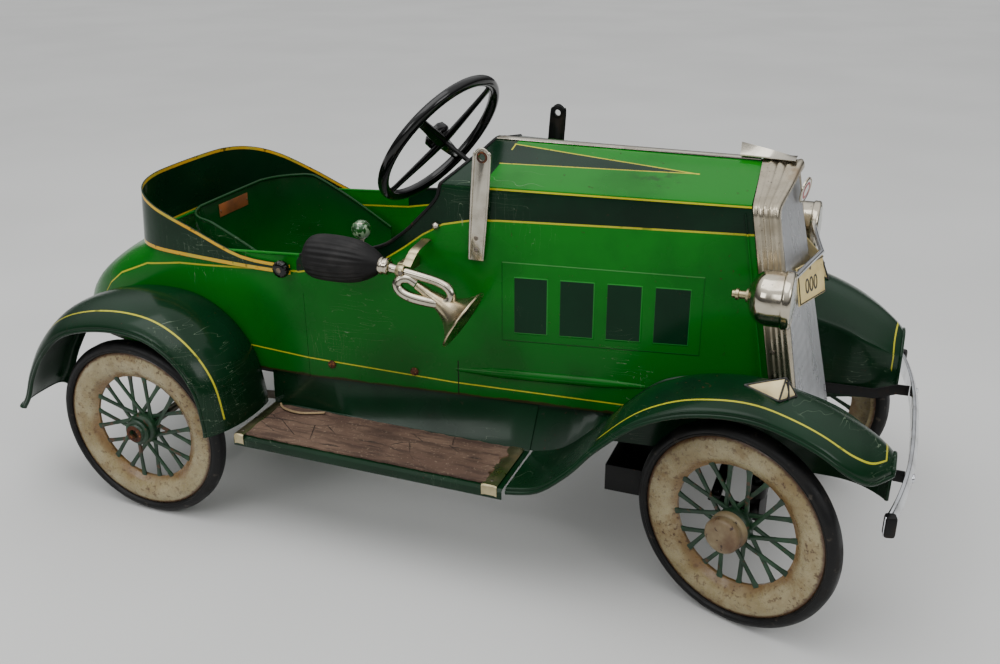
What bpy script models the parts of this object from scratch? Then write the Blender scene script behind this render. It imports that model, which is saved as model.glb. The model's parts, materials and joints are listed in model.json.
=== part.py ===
"""Pressed-steel pedal roadster with steered front wheels, pedals and a cranked rear axle.

Lengths are metres. +X is forward, +Y is the driver's left and +Z is up.
While it is modelled, x = 0 is the rear axle and z = 0 is the floor. The empty
"car_frame" then moves everything back, so the origin is under the middle of the car.
"""

import math

import bmesh
import bpy
from mathutils import Matrix, Vector

# Driving dimensions
CENTRE_X = 0.35875  # from the rear axle to the middle of the car's length
WHEELBASE = 0.7755
WHEEL_R = 0.127  # height of the axles above the datum that the shapes are drawn from
SINK = 0.0045  # that datum lies this far under the floor
TYRE_WIDTH = 0.024
TYRE_SIDES = 48
RIM_R = 0.1085
SPOKE_FIELD_R = 0.074
HUB_R = 0.021
REAR_TRACK_Y = 0.238  # middle plane of a rear tyre
FRONT_TRACK_Y = 0.193
KINGPIN_Y = 0.1455
REST_STEER = math.radians(-19.5)  # the front wheels rest turned to the right
STEER_ARM = 0.050
AXLE_R = 0.006
CRANK_THROW = 0.032
GAP = 0.0005
SHEET = 0.0016  # pressed steel, a little thicker than the real sheet

RADIATOR_X = 0.736  # rear edge of the radiator shell at shoulder height
RADIATOR_HALF = 0.1009
RADIATOR_LOW_Z = 0.162
RAKE = 0.18  # the radiator leans back as it rises
BODY_TAPER = 0.0963  # half-width gained per metre towards the back
SEAM_X = 0.205
SHOULDER_Z = 0.459
HOOD_RISE = 0.0315
BODY_FLOOR_Z = 0.197
RIM_Z = 0.362  # cockpit edge at the seam
TAIL_START_X = 0.05
STEER_HUB = Vector((0.3273, 0.0, 0.4844))
COLUMN_TILT = math.radians(34)
COLUMN_LENGTH = 0.492
STEER_WHEEL_R = 0.0943
RAIL_Y = 0.090
RAIL_LOW_Z, RAIL_TOP_Z = 0.161, 0.179
BOARD_Z = 0.147
BOARD_IN_Y, BOARD_OUT_Y = 0.150, 0.246
BOARD_REAR_X, BOARD_FRONT_X = 0.1455, 0.505
LAMP_X, LAMP_Y, LAMP_Z, LAMP_R = 0.757, 0.140, 0.378, 0.031
PEDAL_X, PEDAL_Z = 0.600, 0.255
ROD_Y = 0.056

SIDES = (("left", 1), ("right", -1))


def clear_scene():
    for obj in list(bpy.data.objects):
        bpy.data.objects.remove(obj, do_unlink=True)


def paint(name, colour, roughness, metallic=0.0):
    made = bpy.data.materials.new(name)
    made.use_nodes = True
    shader = made.node_tree.nodes["Principled BSDF"]
    shader.inputs["Base Color"].default_value = (*colour, 1.0)
    shader.inputs["Roughness"].default_value = roughness
    shader.inputs["Metallic"].default_value = metallic
    return made


clear_scene()
GREEN = paint("body_green", (0.010, 0.130, 0.014), 0.35)
DARK = paint("trim_green", (0.004, 0.040, 0.022), 0.35)
BLACK = paint("chassis_black", (0.010, 0.010, 0.010), 0.55)
GLOSS = paint("gloss_black", (0.008, 0.008, 0.008), 0.2)
CREAM = paint("wheel_cream", (0.52, 0.46, 0.32), 0.5)
NICKEL = paint("nickel", (0.60, 0.57, 0.50), 0.25, 1.0)
CHROME = paint("chrome", (0.75, 0.76, 0.78), 0.1, 1.0)
STEEL = paint("steel", (0.25, 0.24, 0.23), 0.5, 1.0)
TYRE = paint("tyre_rubber", (0.012, 0.012, 0.013), 0.7)
MAT = paint("mat_rubber", (0.11, 0.065, 0.04), 0.85)
BULB = paint("bulb_rubber", (0.010, 0.010, 0.010), 0.6)
LENS = paint("lens_glass", (0.70, 0.72, 0.70), 0.15)
PLATE = paint("plate_yellow", (0.80, 0.62, 0.25), 0.45)
KNOB = paint("knob_green", (0.05, 0.25, 0.07), 0.2)


# ---------------------------------------------------------------- mesh building


def add_grid(bm, rows, wrap=False):
    """Quads between rows of points. With wrap, each row closes on itself."""
    verts = [[bm.verts.new(p) for p in row] for row in rows]
    count = len(verts[0])
    for near, far in zip(verts, verts[1:]):
        for i in range(count if wrap else count - 1):
            j = (i + 1) % count
            bm.faces.new((near[i], near[j], far[j], far[i]))
    return verts


def add_lofted(bm, rings):
    """A closed solid through rings of points, with flat ends."""
    verts = add_grid(bm, rings, wrap=True)
    bm.faces.new(verts[0])
    bm.faces.new(list(reversed(verts[-1])))


def add_hoop(bm, rings):
    """A closed frame: rings of one outline, joined round and back to the first."""
    verts = add_grid(bm, rings, wrap=True)
    for i, corner in enumerate(verts[0]):
        j = (i + 1) % len(verts[0])
        bm.faces.new((verts[-1][i], verts[-1][j], verts[0][j], corner))


def turn_point(radius, along, angle, origin, axis):
    a, b = radius * math.cos(angle), radius * math.sin(angle)
    x, y, z = origin
    if axis == "Y":
        return (x + a, y + along, z + b)
    if axis == "Z":
        return (x + a, y + b, z + along)
    return (x + along, y + a, z + b)


def add_turned(bm, profile, segments, origin=(0, 0, 0), axis="Y", shift=0.0):
    """Turns (radius, along) points: a ring, or a solid if the profile ends on the axis."""
    columns = []
    for radius, along in profile:
        turns = [0.0] if radius < 1e-6 else [2 * math.pi * (k + shift) / segments for k in range(segments)]
        columns.append([bm.verts.new(turn_point(radius, along, t, origin, axis)) for t in turns])
    pairs = list(zip(columns, columns[1:]))
    if profile[0][0] > 1e-6:
        pairs.append((columns[-1], columns[0]))
    for a, b in pairs:
        for k in range(segments):
            n = (k + 1) % segments
            corners = [a[k % len(a)], a[n % len(a)], b[n % len(b)], b[k % len(b)]]
            face = list(dict.fromkeys(corners))
            if len(face) > 2:
                bm.faces.new(face)


def add_pin(bm, radius, low, high, origin=(0, 0, 0), axis="Y", segments=16):
    add_turned(bm, [(0, low), (radius, low), (radius, high), (0, high)], segments, origin, axis)


def add_box(bm, low, high):
    size = [h - l for l, h in zip(low, high)]
    middle = [(h + l) / 2 for l, h in zip(low, high)]
    bmesh.ops.create_cube(bm, size=1.0, matrix=Matrix.Translation(middle) @ Matrix.Diagonal((*size, 1.0)))


def add_side_box(bm, side, xs, ys, zs):
    """A box whose y range is given on the left and used on either side."""
    y = sorted(side * v for v in ys)
    add_box(bm, (xs[0], y[0], zs[0]), (xs[1], y[1], zs[1]))


def tube_rings(points, radii, sides=8, across=(0, 1, 0)):
    """Round sections along a bent path that stays near the plane normal to across."""
    points = [Vector(p) for p in points]
    rings = []
    for k, point in enumerate(points):
        before = points[max(k - 1, 0)]
        after = points[min(k + 1, len(points) - 1)]
        run = ((point - before).normalized() + (after - point).normalized()).normalized()
        u = (Vector(across) - run * run.dot(Vector(across))).normalized()
        v = run.cross(u)
        radius = radii[k] if isinstance(radii, (list, tuple)) else radii
        turns = [2 * math.pi * n / sides for n in range(sides)]
        rings.append([point + (u * math.cos(t) + v * math.sin(t)) * radius for t in turns])
    return rings


def add_tube(bm, points, radii, sides=8, across=(0, 1, 0)):
    add_lofted(bm, tube_rings(points, radii, sides, across))


def smooth_path(knots, per_span):
    """Catmull-Rom points through knots of any dimension."""
    ends = [knots[0], *knots, knots[-1]]
    points = []
    for k in range(1, len(ends) - 2):
        before, here, there, after = (Vector(ends[k + d]) for d in (-1, 0, 1, 2))
        for step in range(per_span):
            t = step / per_span
            slope = there - before
            bend = 2 * before - 5 * here + 4 * there - after
            twist = 3 * here - before - 3 * there + after
            points.append(0.5 * (2 * here + slope * t + bend * t**2 + twist * t**3))
    return [*points, Vector(knots[-1])]


def blend(table, key):
    """Straight-line lookup in rows of (key, value)."""
    for (k0, v0), (k1, v1) in zip(table, table[1:]):
        if key <= k1:
            return v0 + (v1 - v0) * max(0.0, key - k0) / (k1 - k0)
    return table[-1][1]


def place(name, mesh, material, parent):
    """Adds a mesh as a named node, shaded smooth but for its hard edges."""
    mesh.shade_smooth()
    mesh.set_sharp_from_angle(angle=math.radians(35))
    mesh.materials.append(material)
    obj = bpy.data.objects.new(name, mesh)
    bpy.context.scene.collection.objects.link(obj)
    obj.parent = parent
    return obj


def mesh_of(name, builder):
    """Runs builder on an empty bmesh and returns the mesh with its normals out."""
    bm = bmesh.new()
    builder(bm)
    bmesh.ops.recalc_face_normals(bm, faces=bm.faces)
    mesh = bpy.data.meshes.new(name)
    bm.to_mesh(mesh)
    bm.free()
    return mesh


def combine(obj, joins=(), cuts=()):
    """Joins an object with, and then cuts it by, further shapes."""
    name, material, parent = obj.name, obj.data.materials[0], obj.parent
    for kind, shapes in (("UNION", joins), ("DIFFERENCE", cuts)):
        for number, shape in enumerate(shapes):
            tool = place(f"{name}_{kind.lower()}_{number}", mesh_of(name, shape), material, parent)
            tool.hide_render = True
            tool.display_type = "WIRE"
            step = obj.modifiers.new(kind.lower(), "BOOLEAN")
            step.operation = kind
            step.solver = "EXACT"
            step.object = tool
    return obj


def solid(name, builder, material, parent, joins=(), cuts=()):
    return combine(place(name, mesh_of(name, builder), material, parent), joins, cuts)


def sheet(name, builder, core, material, inward=True, depth=SHEET):
    """An open surface given thickness towards its core point, or away from it."""
    mesh = mesh_of(name, builder)
    facing = sum(f.normal.dot(f.center - Vector(core)) * f.area for f in mesh.polygons)
    if facing < 0:
        mesh.flip_normals()
    obj = place(name, mesh, material, FRAME)
    thick = obj.modifiers.new("sheet", "SOLIDIFY")
    thick.thickness = depth
    thick.offset = -1.0 if inward else 1.0
    thick.use_even_offset = True
    return obj


def empty(name, location, parent=None, turn=0.0):
    made = bpy.data.objects.new(name, None)
    made.location = location
    made.rotation_euler = (0, 0, turn)
    made.parent = parent
    bpy.context.scene.collection.objects.link(made)
    return made


# ---------------------------------------------------------------- body


def half_width(x):
    """Half of the body's width: straight beside the seat, then tapering to the radiator."""
    return RADIATOR_HALF + BODY_TAPER * (RADIATOR_X - max(x, SEAM_X))


def rake_x(x, z):
    """Moves a point at shoulder height along the radiator's lean."""
    return x + (SHOULDER_Z - z) * RAKE


# Each line of the side: (height, where it starts at the back).
SIDE_LINES = (
    (BODY_FLOOR_Z, SEAM_X),
    (0.250, SEAM_X),
    (0.310, SEAM_X),
    (RIM_Z, SEAM_X),
    (0.379, 0.300),
    (0.399, 0.337),
    (0.427, 0.366),
    (0.447, 0.383),
)
# Each line of the hood: (share of half-width, share of rise, where it starts).
HOOD_LINES = ((0.99, 0.10, 0.387), (0.955, 0.20, 0.389), (0.75, 0.37, 0.393), (0.5, 0.57, 0.397), (0.25, 0.78, 0.402), (0.0, 1.0, 0.406))
STATIONS = 8


def front_body_rows(stations):
    """Rows of points that run forward, from the right sill over the hood to the left sill."""
    half = [(1.0, z, start) for z, start in SIDE_LINES]
    half += [(share, SHOULDER_Z + HOOD_RISE * rise, start) for share, rise, start in HOOD_LINES]
    rows = []
    for share, z, start in [(-s, z, x) for s, z, x in half] + half[-2::-1]:
        end = rake_x(RADIATOR_X - 0.001, z)
        xs = [start + (end - start) * k / stations for k in range(stations + 1)]
        rows.append([(x, share * half_width(x), z) for x in xs])
    return rows


# The tail in plan at rising heights: (share of height, rearmost x, squareness).
TAIL_LEVELS = (
    (0.0, -0.222, 2.8),
    (0.25, -0.211, 3.0),
    (0.45, -0.186, 3.3),
    (0.62, -0.154, 3.5),
    (0.78, -0.117, 3.5),
    (0.90, -0.083, 3.5),
    (1.0, -0.060, 3.5),
)


def plan_curve(rear_x, half, square, front_x, count=16):
    """Plan of the body's back, from its right side round the tail to its left side."""
    points = [(front_x, -half), ((front_x + TAIL_START_X) / 2, -half)]
    for k in range(count + 1):
        t = math.pi * k / count
        x = TAIL_START_X - (TAIL_START_X - rear_x) * abs(math.sin(t)) ** (2 / square)
        points.append((x, -half * math.copysign(abs(math.cos(t)) ** (2 / square), math.cos(t))))
    return points + [(x, -y) for x, y in (points[1], points[0])]


def rim_z(x):
    return RIM_Z - 0.012 * (1 - max(0.0, x) / SEAM_X)


def rear_body_rows():
    rows = []
    for share, rear_x, square in TAIL_LEVELS:
        plan = plan_curve(rear_x, half_width(0), square, SEAM_X - GAP)
        rows.append([(x, y, BODY_FLOOR_Z + share * (rim_z(x) - BODY_FLOOR_Z)) for x, y in plan])
    return rows


def band_rows():
    """The raised band round the cockpit: tallest behind the seat and narrow at its front ends."""
    half = half_width(0) + 0.0018
    low = plan_curve(-0.0735, half, 3.5, 0.190)
    high = plan_curve(-0.0650, half, 3.5, 0.190)
    lower = [(x, y, 0.3435 - 0.0085 * min(1.0, max(0.0, (x + 0.03) / 0.18))) for x, y in low]
    upper = [(x, y, max(0.3485, 0.4240 - 0.385 * (x + 0.0650))) for x, y in high]
    middle = [tuple((a + b) / 2 for a, b in zip(p, q)) for p, q in zip(lower, upper)]
    return [lower, middle, upper]


def seat_rows():
    """Inner surface of the seat's wall, from its top edge down to the base."""
    corner = 0.068
    rear_x, front_x, half = 0.002, 0.185, 0.128
    plan = [(front_x, -half), (0.125, -half)]
    for k in range(7):
        t = math.radians(270 - 15 * k)
        plan.append((rear_x + corner + corner * math.cos(t), -half + corner + corner * math.sin(t)))
    plan += [(x, -y) for x, y in reversed(plan)]
    floor_z = 0.232
    rows = []
    for share, shift, squeeze in ((1.0, 0.0, 1.0), (0.45, 0.004, 0.985), (0.07, 0.013, 0.955), (0.0, 0.022, 0.915)):
        row = []
        for x, y in plan:
            top = 0.381 - 0.068 * max(0.0, (x - 0.055) / 0.13) ** 1.2
            taper = shift * (1 - max(0.0, (x - 0.05) / 0.135))
            row.append((x + taper, y * squeeze, floor_z + share * (top - floor_z)))
        rows.append(row)
    return rows


def make_shells():
    sheet("front_body", lambda bm: add_grid(bm, front_body_rows(STATIONS)), (0.5, 0, 0.3), GREEN)
    sheet("rear_body", lambda bm: add_grid(bm, rear_body_rows()), (0.05, 0, 0.25), GREEN)
    sheet("cockpit_band", lambda bm: add_grid(bm, band_rows()), (0.08, 0, 0.38), DARK, inward=False)

    def seat(bm):
        rim = add_grid(bm, seat_rows())[-1]
        for k in range(len(rim) // 2 - 1):
            bm.faces.new((rim[k], rim[k + 1], rim[-k - 2], rim[-k - 1]))

    def riser(side):
        ys, zs = (RAIL_Y - 0.0045, RAIL_Y - 0.0020), (RAIL_TOP_Z + GAP, 0.2312)
        return lambda bm: add_side_box(bm, side, (0.050, 0.150), ys, zs)

    base = sheet("seat", seat, (0.1, 0, 0.34), GREEN, inward=False, depth=0.002)
    combine(base, joins=[riser(side) for _, side in SIDES])


def radiator_bow(y, z):
    """How far the pointed front stands ahead of its own side edges."""
    return (0.0205 + 0.05 * (0.44 - z)) * (1 - abs(y) / (RADIATOR_HALF + 0.0008))


def radiator_ring(inset, depth, cut=0.0, bow=0.0):
    """The radiator's outline, drawn in by inset, on a raked plane or on the pointed front."""
    half = RADIATOR_HALF + 0.0008 - inset
    shoulder = SHOULDER_Z + 0.001 - 0.45 * inset
    top = SHOULDER_Z + HOOD_RISE + 0.003 - inset
    side = [(half, RADIATOR_LOW_Z + cut), (half, 0.30), (half, shoulder - 0.006)]
    side += [(half - 0.003, shoulder + 0.002), (half - 0.010, shoulder + 0.006)]
    side += [(0.05, (shoulder + 0.006) * 0.56 + top * 0.44), (0.010, top - 0.0015)]
    points = [(-y, z) for y, z in side] + [(0, top)] + list(reversed(side)) + [(0, RADIATOR_LOW_Z + cut)]
    return [(rake_x(RADIATOR_X + depth, z) + bow * radiator_bow(y, z), y, z) for y, z in points]


def make_radiator():
    """A plated hoop, and the flat mesh core held inside it."""

    def shell(bm):
        rings = [radiator_ring(0, 0.0), radiator_ring(0, 0.0235, bow=1), radiator_ring(0.003, 0.0262, 0.003, 1)]
        rings += [radiator_ring(0.011, 0.0240, 0.014, 1), radiator_ring(0.011, 0.0, 0.014)]
        add_hoop(bm, rings)

    def core(bm):
        back, front = radiator_ring(0.0115, 0.012, 0.0145), radiator_ring(0.0115, 0.0185, 0.0145, 1)
        add_lofted(bm, [back, front])
        ridge = [v for v in bm.verts if abs(v.co.y) < 1e-6 and v.co.x > rake_x(RADIATOR_X + 0.0185, v.co.z) + 0.001]
        bmesh.ops.connect_verts(bm, verts=ridge)

    solid("radiator_shell", shell, NICKEL, FRAME)
    solid("radiator_grille", core, CHROME, FRAME)


def make_hood_trim():
    """The plated strip along the hood and the folded wing that stands on its front end."""
    z = SHOULDER_Z + HOOD_RISE + GAP

    def strip(bm):
        section = ((-0.0065, 0), (-0.0035, 0.0022), (0.0035, 0.0022), (0.0065, 0))
        add_lofted(bm, [[(x, y, z + h) for y, h in section] for x in (0.408, 0.728)])

    def wing(bm):
        rows = []
        for x, half, rise, lift in ((0.704, 0.0022, 0.015, 0.0025), (0.736, 0.0045, 0.009, 0), (0.766, 0.0075, 0.002, 0)):
            base = z + 0.0034 + lift
            crest = base + 0.003 + rise
            flank = base + 0.0018 + rise * 0.5
            row = [(-half - 0.006, base), (-half, flank), (0, crest), (half, flank), (half + 0.006, base)]
            rows.append([(x, y, height) for y, height in row])
        add_lofted(bm, rows)

    solid("hood_strip", strip, NICKEL, FRAME)
    solid("radiator_wing", wing, NICKEL, FRAME)


# ---------------------------------------------------------------- fenders and boards

# The front fender's crown: (x, height, how far its outer bead drops below it).
FRONT_CROWN = (
    (0.508, 0.1475, 0.000, 0.002),
    (0.545, 0.1570, 0.000, 0.003),
    (0.580, 0.1875, 0.001, 0.006),
    (0.610, 0.2250, 0.003, 0.013),
    (0.650, 0.2650, 0.007, 0.019),
    (0.692, 0.2890, 0.010, 0.030),
    (0.735, 0.2990, 0.011, 0.034),
    (0.774, 0.3000, 0.012, 0.035),
    (0.812, 0.2900, 0.012, 0.032),
    (0.845, 0.2780, 0.015, 0.029),
    (0.873, 0.2650, 0.022, 0.029),
    (0.890, 0.2550, 0.023, 0.029),
    (0.903, 0.2450, 0.014, 0.028),
    (0.911, 0.2360, 0.005, 0.022),
)
FRONT_OUT_Y = 0.240
FRONT_IN_Y = 0.107
# The rear fender's crown: (x, height).
REAR_CROWN = (
    (-0.2050, 0.1290),
    (-0.1930, 0.1500),
    (-0.1770, 0.1900),
    (-0.1500, 0.2360),
    (-0.1100, 0.2730),
    (-0.058, 0.293),
    (0.002, 0.300),
    (0.055, 0.292),
    (0.100, 0.264),
    (0.130, 0.222),
    (0.1415, 0.172),
    (0.1430, 0.1515),
)
REAR_OUT_Y = 0.262
REAR_IN_Y = 0.1545


def front_fender_rows(side, per_span):
    """Sections along the crown, each from the inner skirt over the top to the outer bead."""
    rows = []
    for x, z, drop, fall in smooth_path(FRONT_CROWN, per_span):
        nose = min(1.0, max(0.0, (x - 0.845) / 0.073))
        inner = max(FRONT_IN_Y, half_width(x) + 0.002) + 0.040 * nose**2.5
        outer = FRONT_OUT_Y - 0.058 * nose**2.4
        wide = outer - inner
        skirt = min(z - fall - 0.008, max(0.1625, z - 0.150 * max(0.0, (x - 0.50) / 0.15)))
        row = [(0.0, skirt), (0.01, z - fall - 0.004), (0.05, z - 0.93 * fall), (0.22, z - 0.52 * fall), (0.40, z - 0.14 * fall)]
        row += [(0.58, z), (0.78, z - 0.22 * drop), (0.92, z - 0.60 * drop), (1.0, z - drop), (1.0, z - drop - 0.006)]
        rows.append([(x, side * (inner + wide * share), height) for share, height in row])
    return rows


def rear_fender_rows(side, per_span):
    """Sections square to the wheel arch, from the body over the top to the outer bead."""
    rows = []
    for x, z in smooth_path(REAR_CROWN, per_span):
        away = Vector((x, z - WHEEL_R)).normalized()
        tail = min(1.0, max(0.0, (-0.15 - x) / 0.07))
        drop = 0.022 * (1 - 0.6 * tail)
        row = ((REAR_IN_Y + 0.020 * tail, 0.016), (REAR_IN_Y + 0.020 * tail, 0.005), (0.180, 0.0))
        row += ((0.212, 0.0), (0.236 - 0.006 * tail, 0.25 * drop), (0.253 - 0.010 * tail, 0.62 * drop))
        row += ((REAR_OUT_Y - 0.012 * tail, drop), (REAR_OUT_Y - 0.012 * tail, drop + 0.006))
        rows.append([(x - away.x * inwards, side * y, z - away.y * inwards) for y, inwards in row])
    return rows


def board_row(side, x):
    """Splash apron, step and outer lip, folded from one sheet."""
    top = half_width(x) - 0.0040
    section = ((top, 0.206), (top, BODY_FLOOR_Z - 0.002), (BOARD_IN_Y, BOARD_Z + 0.002))
    section += ((BOARD_IN_Y + 0.002, BOARD_Z), (BOARD_OUT_Y - 0.003, BOARD_Z))
    section += ((BOARD_OUT_Y, BOARD_Z - 0.003), (BOARD_OUT_Y, BOARD_Z - 0.013))
    return [(x, side * y, z) for y, z in section]


def make_fenders_and_boards():
    for label, side in SIDES:
        front_core = (WHEELBASE, side * 0.19, WHEEL_R)
        rear_core = (0, side * 0.21, WHEEL_R)
        sheet(f"front_fender_{label}", lambda bm: add_grid(bm, front_fender_rows(side, 2)), front_core, DARK)
        sheet(f"rear_fender_{label}", lambda bm: add_grid(bm, rear_fender_rows(side, 2)), rear_core, DARK)
        xs = (BOARD_REAR_X, 0.205, 0.35, BOARD_FRONT_X)
        rows = [board_row(side, x) for x in xs]
        sheet(f"running_board_{label}", lambda bm: add_grid(bm, rows), (0.3, side * 0.19, -1), DARK)

        def mat(bm):
            ys = (BOARD_IN_Y + 0.004, BOARD_OUT_Y - 0.006)
            add_side_box(bm, side, (0.150, 0.488), ys, (BOARD_Z + GAP, BOARD_Z + GAP + 0.003))

        solid(f"step_mat_{label}", mat, MAT, FRAME)


# ---------------------------------------------------------------- chassis and front trim


def make_chassis():
    """Two rails, each with a hanger plate in which the crank axle turns."""
    for label, side in SIDES:

        def bar(bm):
            add_side_box(bm, side, (-0.145, 0.780), (RAIL_Y - 0.005, RAIL_Y + 0.005), (RAIL_LOW_Z, RAIL_TOP_Z))

        def hanger(bm):
            add_side_box(bm, side, (-0.015, 0.015), (RAIL_Y - 0.003, RAIL_Y + 0.003), (WHEEL_R - 0.016, 0.17))

        def bore(bm):
            add_pin(bm, AXLE_R + 0.0007, -0.02, 0.02, (0, side * RAIL_Y, WHEEL_R))

        solid(f"chassis_rail_{label}", bar, BLACK, FRAME, joins=[hanger], cuts=[bore])

    def beam(bm):
        """A flat bar with rounded ends, seen from above."""
        outline = []
        for side in (1, -1):
            for k in range(9):
                t = math.radians(4 + 21.5 * k)
                outline.append((WHEELBASE + 0.011 * side * math.cos(t), side * (KINGPIN_Y + 0.011 * math.sin(t))))
        add_lofted(bm, [[(x, y, z) for x, y in outline] for z in (0.143, RAIL_LOW_Z - GAP)])

    bores = [lambda bm, s=s: add_pin(bm, 0.0047, 0.1, 0.2, (WHEELBASE, s * KINGPIN_Y, 0), "Z") for _, s in SIDES]
    solid("front_axle", beam, BLACK, FRAME, cuts=bores)


def make_bumper():
    def section(y):
        back = 0.9310 - 0.022 * (abs(y) / 0.222) ** 2.6
        outline = ((0, -0.0115), (0.004, -0.0115), (0.0075, -0.006), (0.0085, 0))
        outline += ((0.0075, 0.006), (0.004, 0.0115), (0, 0.0115))
        return [(back + d, y, 0.180 + h) for d, h in outline]

    ys = [0.222 * k / 10 for k in range(-10, 11)]
    solid("bumper_bar", lambda bm: add_lofted(bm, [section(y) for y in ys]), CHROME, FRAME)
    path = ((0.700, 0.0968, 0.170), (0.770, 0.0968, 0.170), (0.790, 0.1045, 0.171), (0.885, 0.1045, 0.173))
    path += ((0.912, 0.1120, 0.180), (0.9265, 0.1130, 0.180))
    for label, side in SIDES:

        def strap(bm):
            rings = []
            for x, y, z in path:
                corners = ((-1, -1), (1, -1), (1, 1), (-1, 1))
                rings.append([(x, side * (y + 0.0012 * a), z + 0.007 * b) for a, b in corners])
            add_lofted(bm, rings)

        solid(f"bumper_bracket_{label}", strap, BLACK, FRAME)


def fender_top_z(x, y):
    """Height of the front fender's skin near its crown."""
    path = smooth_path(FRONT_CROWN, 2)
    crown = blend([(p[0], p[1]) for p in path], x)
    drop = blend([(p[0], p[2]) for p in path], x)
    share = (y - FRONT_IN_Y) / (FRONT_OUT_Y - FRONT_IN_Y)
    return crown - drop * blend(((0.58, 0.0), (0.78, 0.22), (0.92, 0.60), (1.0, 1.0)), share)


def make_lamps():
    for label, side in SIDES:
        middle = (LAMP_X, side * LAMP_Y, LAMP_Z)
        body = [(0, -0.030), (0.0042, -0.030), (0.0042, -0.012), (0.013, -0.010), (0.024, -0.005), (0.0295, 0.001)]
        body += [(0.0300, 0.024), (LAMP_R, 0.026), (LAMP_R, 0.031), (0.0280, 0.033), (0.0270, 0.029), (0, 0.029)]
        glass = [(0, 0.0295), (0.0265, 0.0295), (0.0265, 0.0315), (0.018, 0.0345), (0.008, 0.0358), (0, 0.036)]
        solid(f"headlamp_{label}", lambda bm: add_turned(bm, body, 28, middle, "X"), NICKEL, FRAME)
        solid(f"headlamp_lens_{label}", lambda bm: add_turned(bm, glass, 28, middle, "X"), LENS, FRAME)

        def torpedo(bm):
            rings = []
            for x, half, high in ((0.757, 0.001, 0.003), (0.775, 0.008, 0.014), (0.792, 0.0115, 0.019), (0.808, 0.0095, 0.015), (0.812, 0.007, 0.009)):
                ring = []
                for across, up in ((1, 0), (0.9, 0.55), (0.45, 0.92), (0, 1), (-0.45, 0.92), (-0.9, 0.55), (-1, 0), (-0.5, 0), (0, 0), (0.5, 0)):
                    y = 0.196 + half * across
                    ring.append((x, side * y, fender_top_z(x, y) + 0.0010 + high * up))
                rings.append(ring)
            add_lofted(bm, rings)

        solid(f"fender_lamp_{label}", torpedo, PLATE, FRAME)
    bar = [(LAMP_X + 0.0275, -0.1100, 0.3895), (0.8045, 0.0, 0.3895), (LAMP_X + 0.0275, 0.1100, 0.3895)]
    solid("lamp_bar", lambda bm: add_tube(bm, bar, 0.0028, 10, (0, 0, 1)), CHROME, FRAME)

    def plate(bm):
        rings = []
        for y in (-0.060, 0.0, 0.060):
            corners = [(plate_x(y, z) + d, y, z) for d, z in ((-0.0012, 0.341), (0, 0.341), (0, 0.386), (-0.0012, 0.386))]
            rings.append(corners)
        add_lofted(bm, rings)

    def tab(y):
        return lambda bm: add_box(bm, (0.7935, y - 0.003, 0.380), (0.7958, y + 0.003, 0.394))

    solid("number_plate", plate, PLATE, FRAME, joins=[tab(-0.03), tab(0.03)])


def plate_x(y, z):
    """Front face of the number plate, which is bent to follow the radiator's point."""
    return rake_x(0.7705, z) + 0.0225 * (1 - abs(y) / 0.060)


# ---------------------------------------------------------------- wheels and rear axle


def add_spokes(bm):
    """Ten pairs of crossing spokes, pierced from one flat disc."""
    flat, thick = -0.0022, 0.0028

    def vert(cache, radius, degrees):
        key = (radius, round(degrees % 360, 2))
        if key not in cache:
            cache[key] = bm.verts.new(turn_point(radius, flat, math.radians(degrees), (0, 0, 0), "Y"))
        return cache[key]

    hub, apex, fork, inner, outer = 0.0185, 0.031, 0.052, 0.0705, SPOKE_FIELD_R + 0.0015
    big, small = 12.0, 4.6
    cache = {}
    for k in range(10):
        for turn, step in ((36 * k, 18), (36 * k + 36, -18)):
            spread = big if step > 0 else -big
            edge = turn + step - (small if step > 0 else -small)
            loop = [(hub, turn), (hub, turn + step), (fork, turn + step), (inner, edge), (inner, turn + spread), (apex, turn)]
            bm.faces.new([vert(cache, r, a) for r, a in loop])
            loop = [(inner, turn + spread), (inner, edge), (outer, edge), (outer, turn + spread)]
            bm.faces.new([vert(cache, r, a) for r, a in loop])
        for middle, half in ((36 * k, big), (36 * k + 18, small)):
            loop = [(inner, middle - half), (inner, middle + half), (outer, middle + half), (outer, middle), (outer, middle - half)]
            bm.faces.new([vert(cache, r, a) for r, a in loop])
    bm.faces.new([vert(cache, hub, 18 * k) for k in range(20)])
    bmesh.ops.recalc_face_normals(bm, faces=bm.faces)
    raised = bmesh.ops.extrude_face_region(bm, geom=list(bm.faces))["geom"]
    bmesh.ops.translate(bm, verts=[g for g in raised if isinstance(g, bmesh.types.BMVert)], vec=(0, thick, 0))


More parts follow.
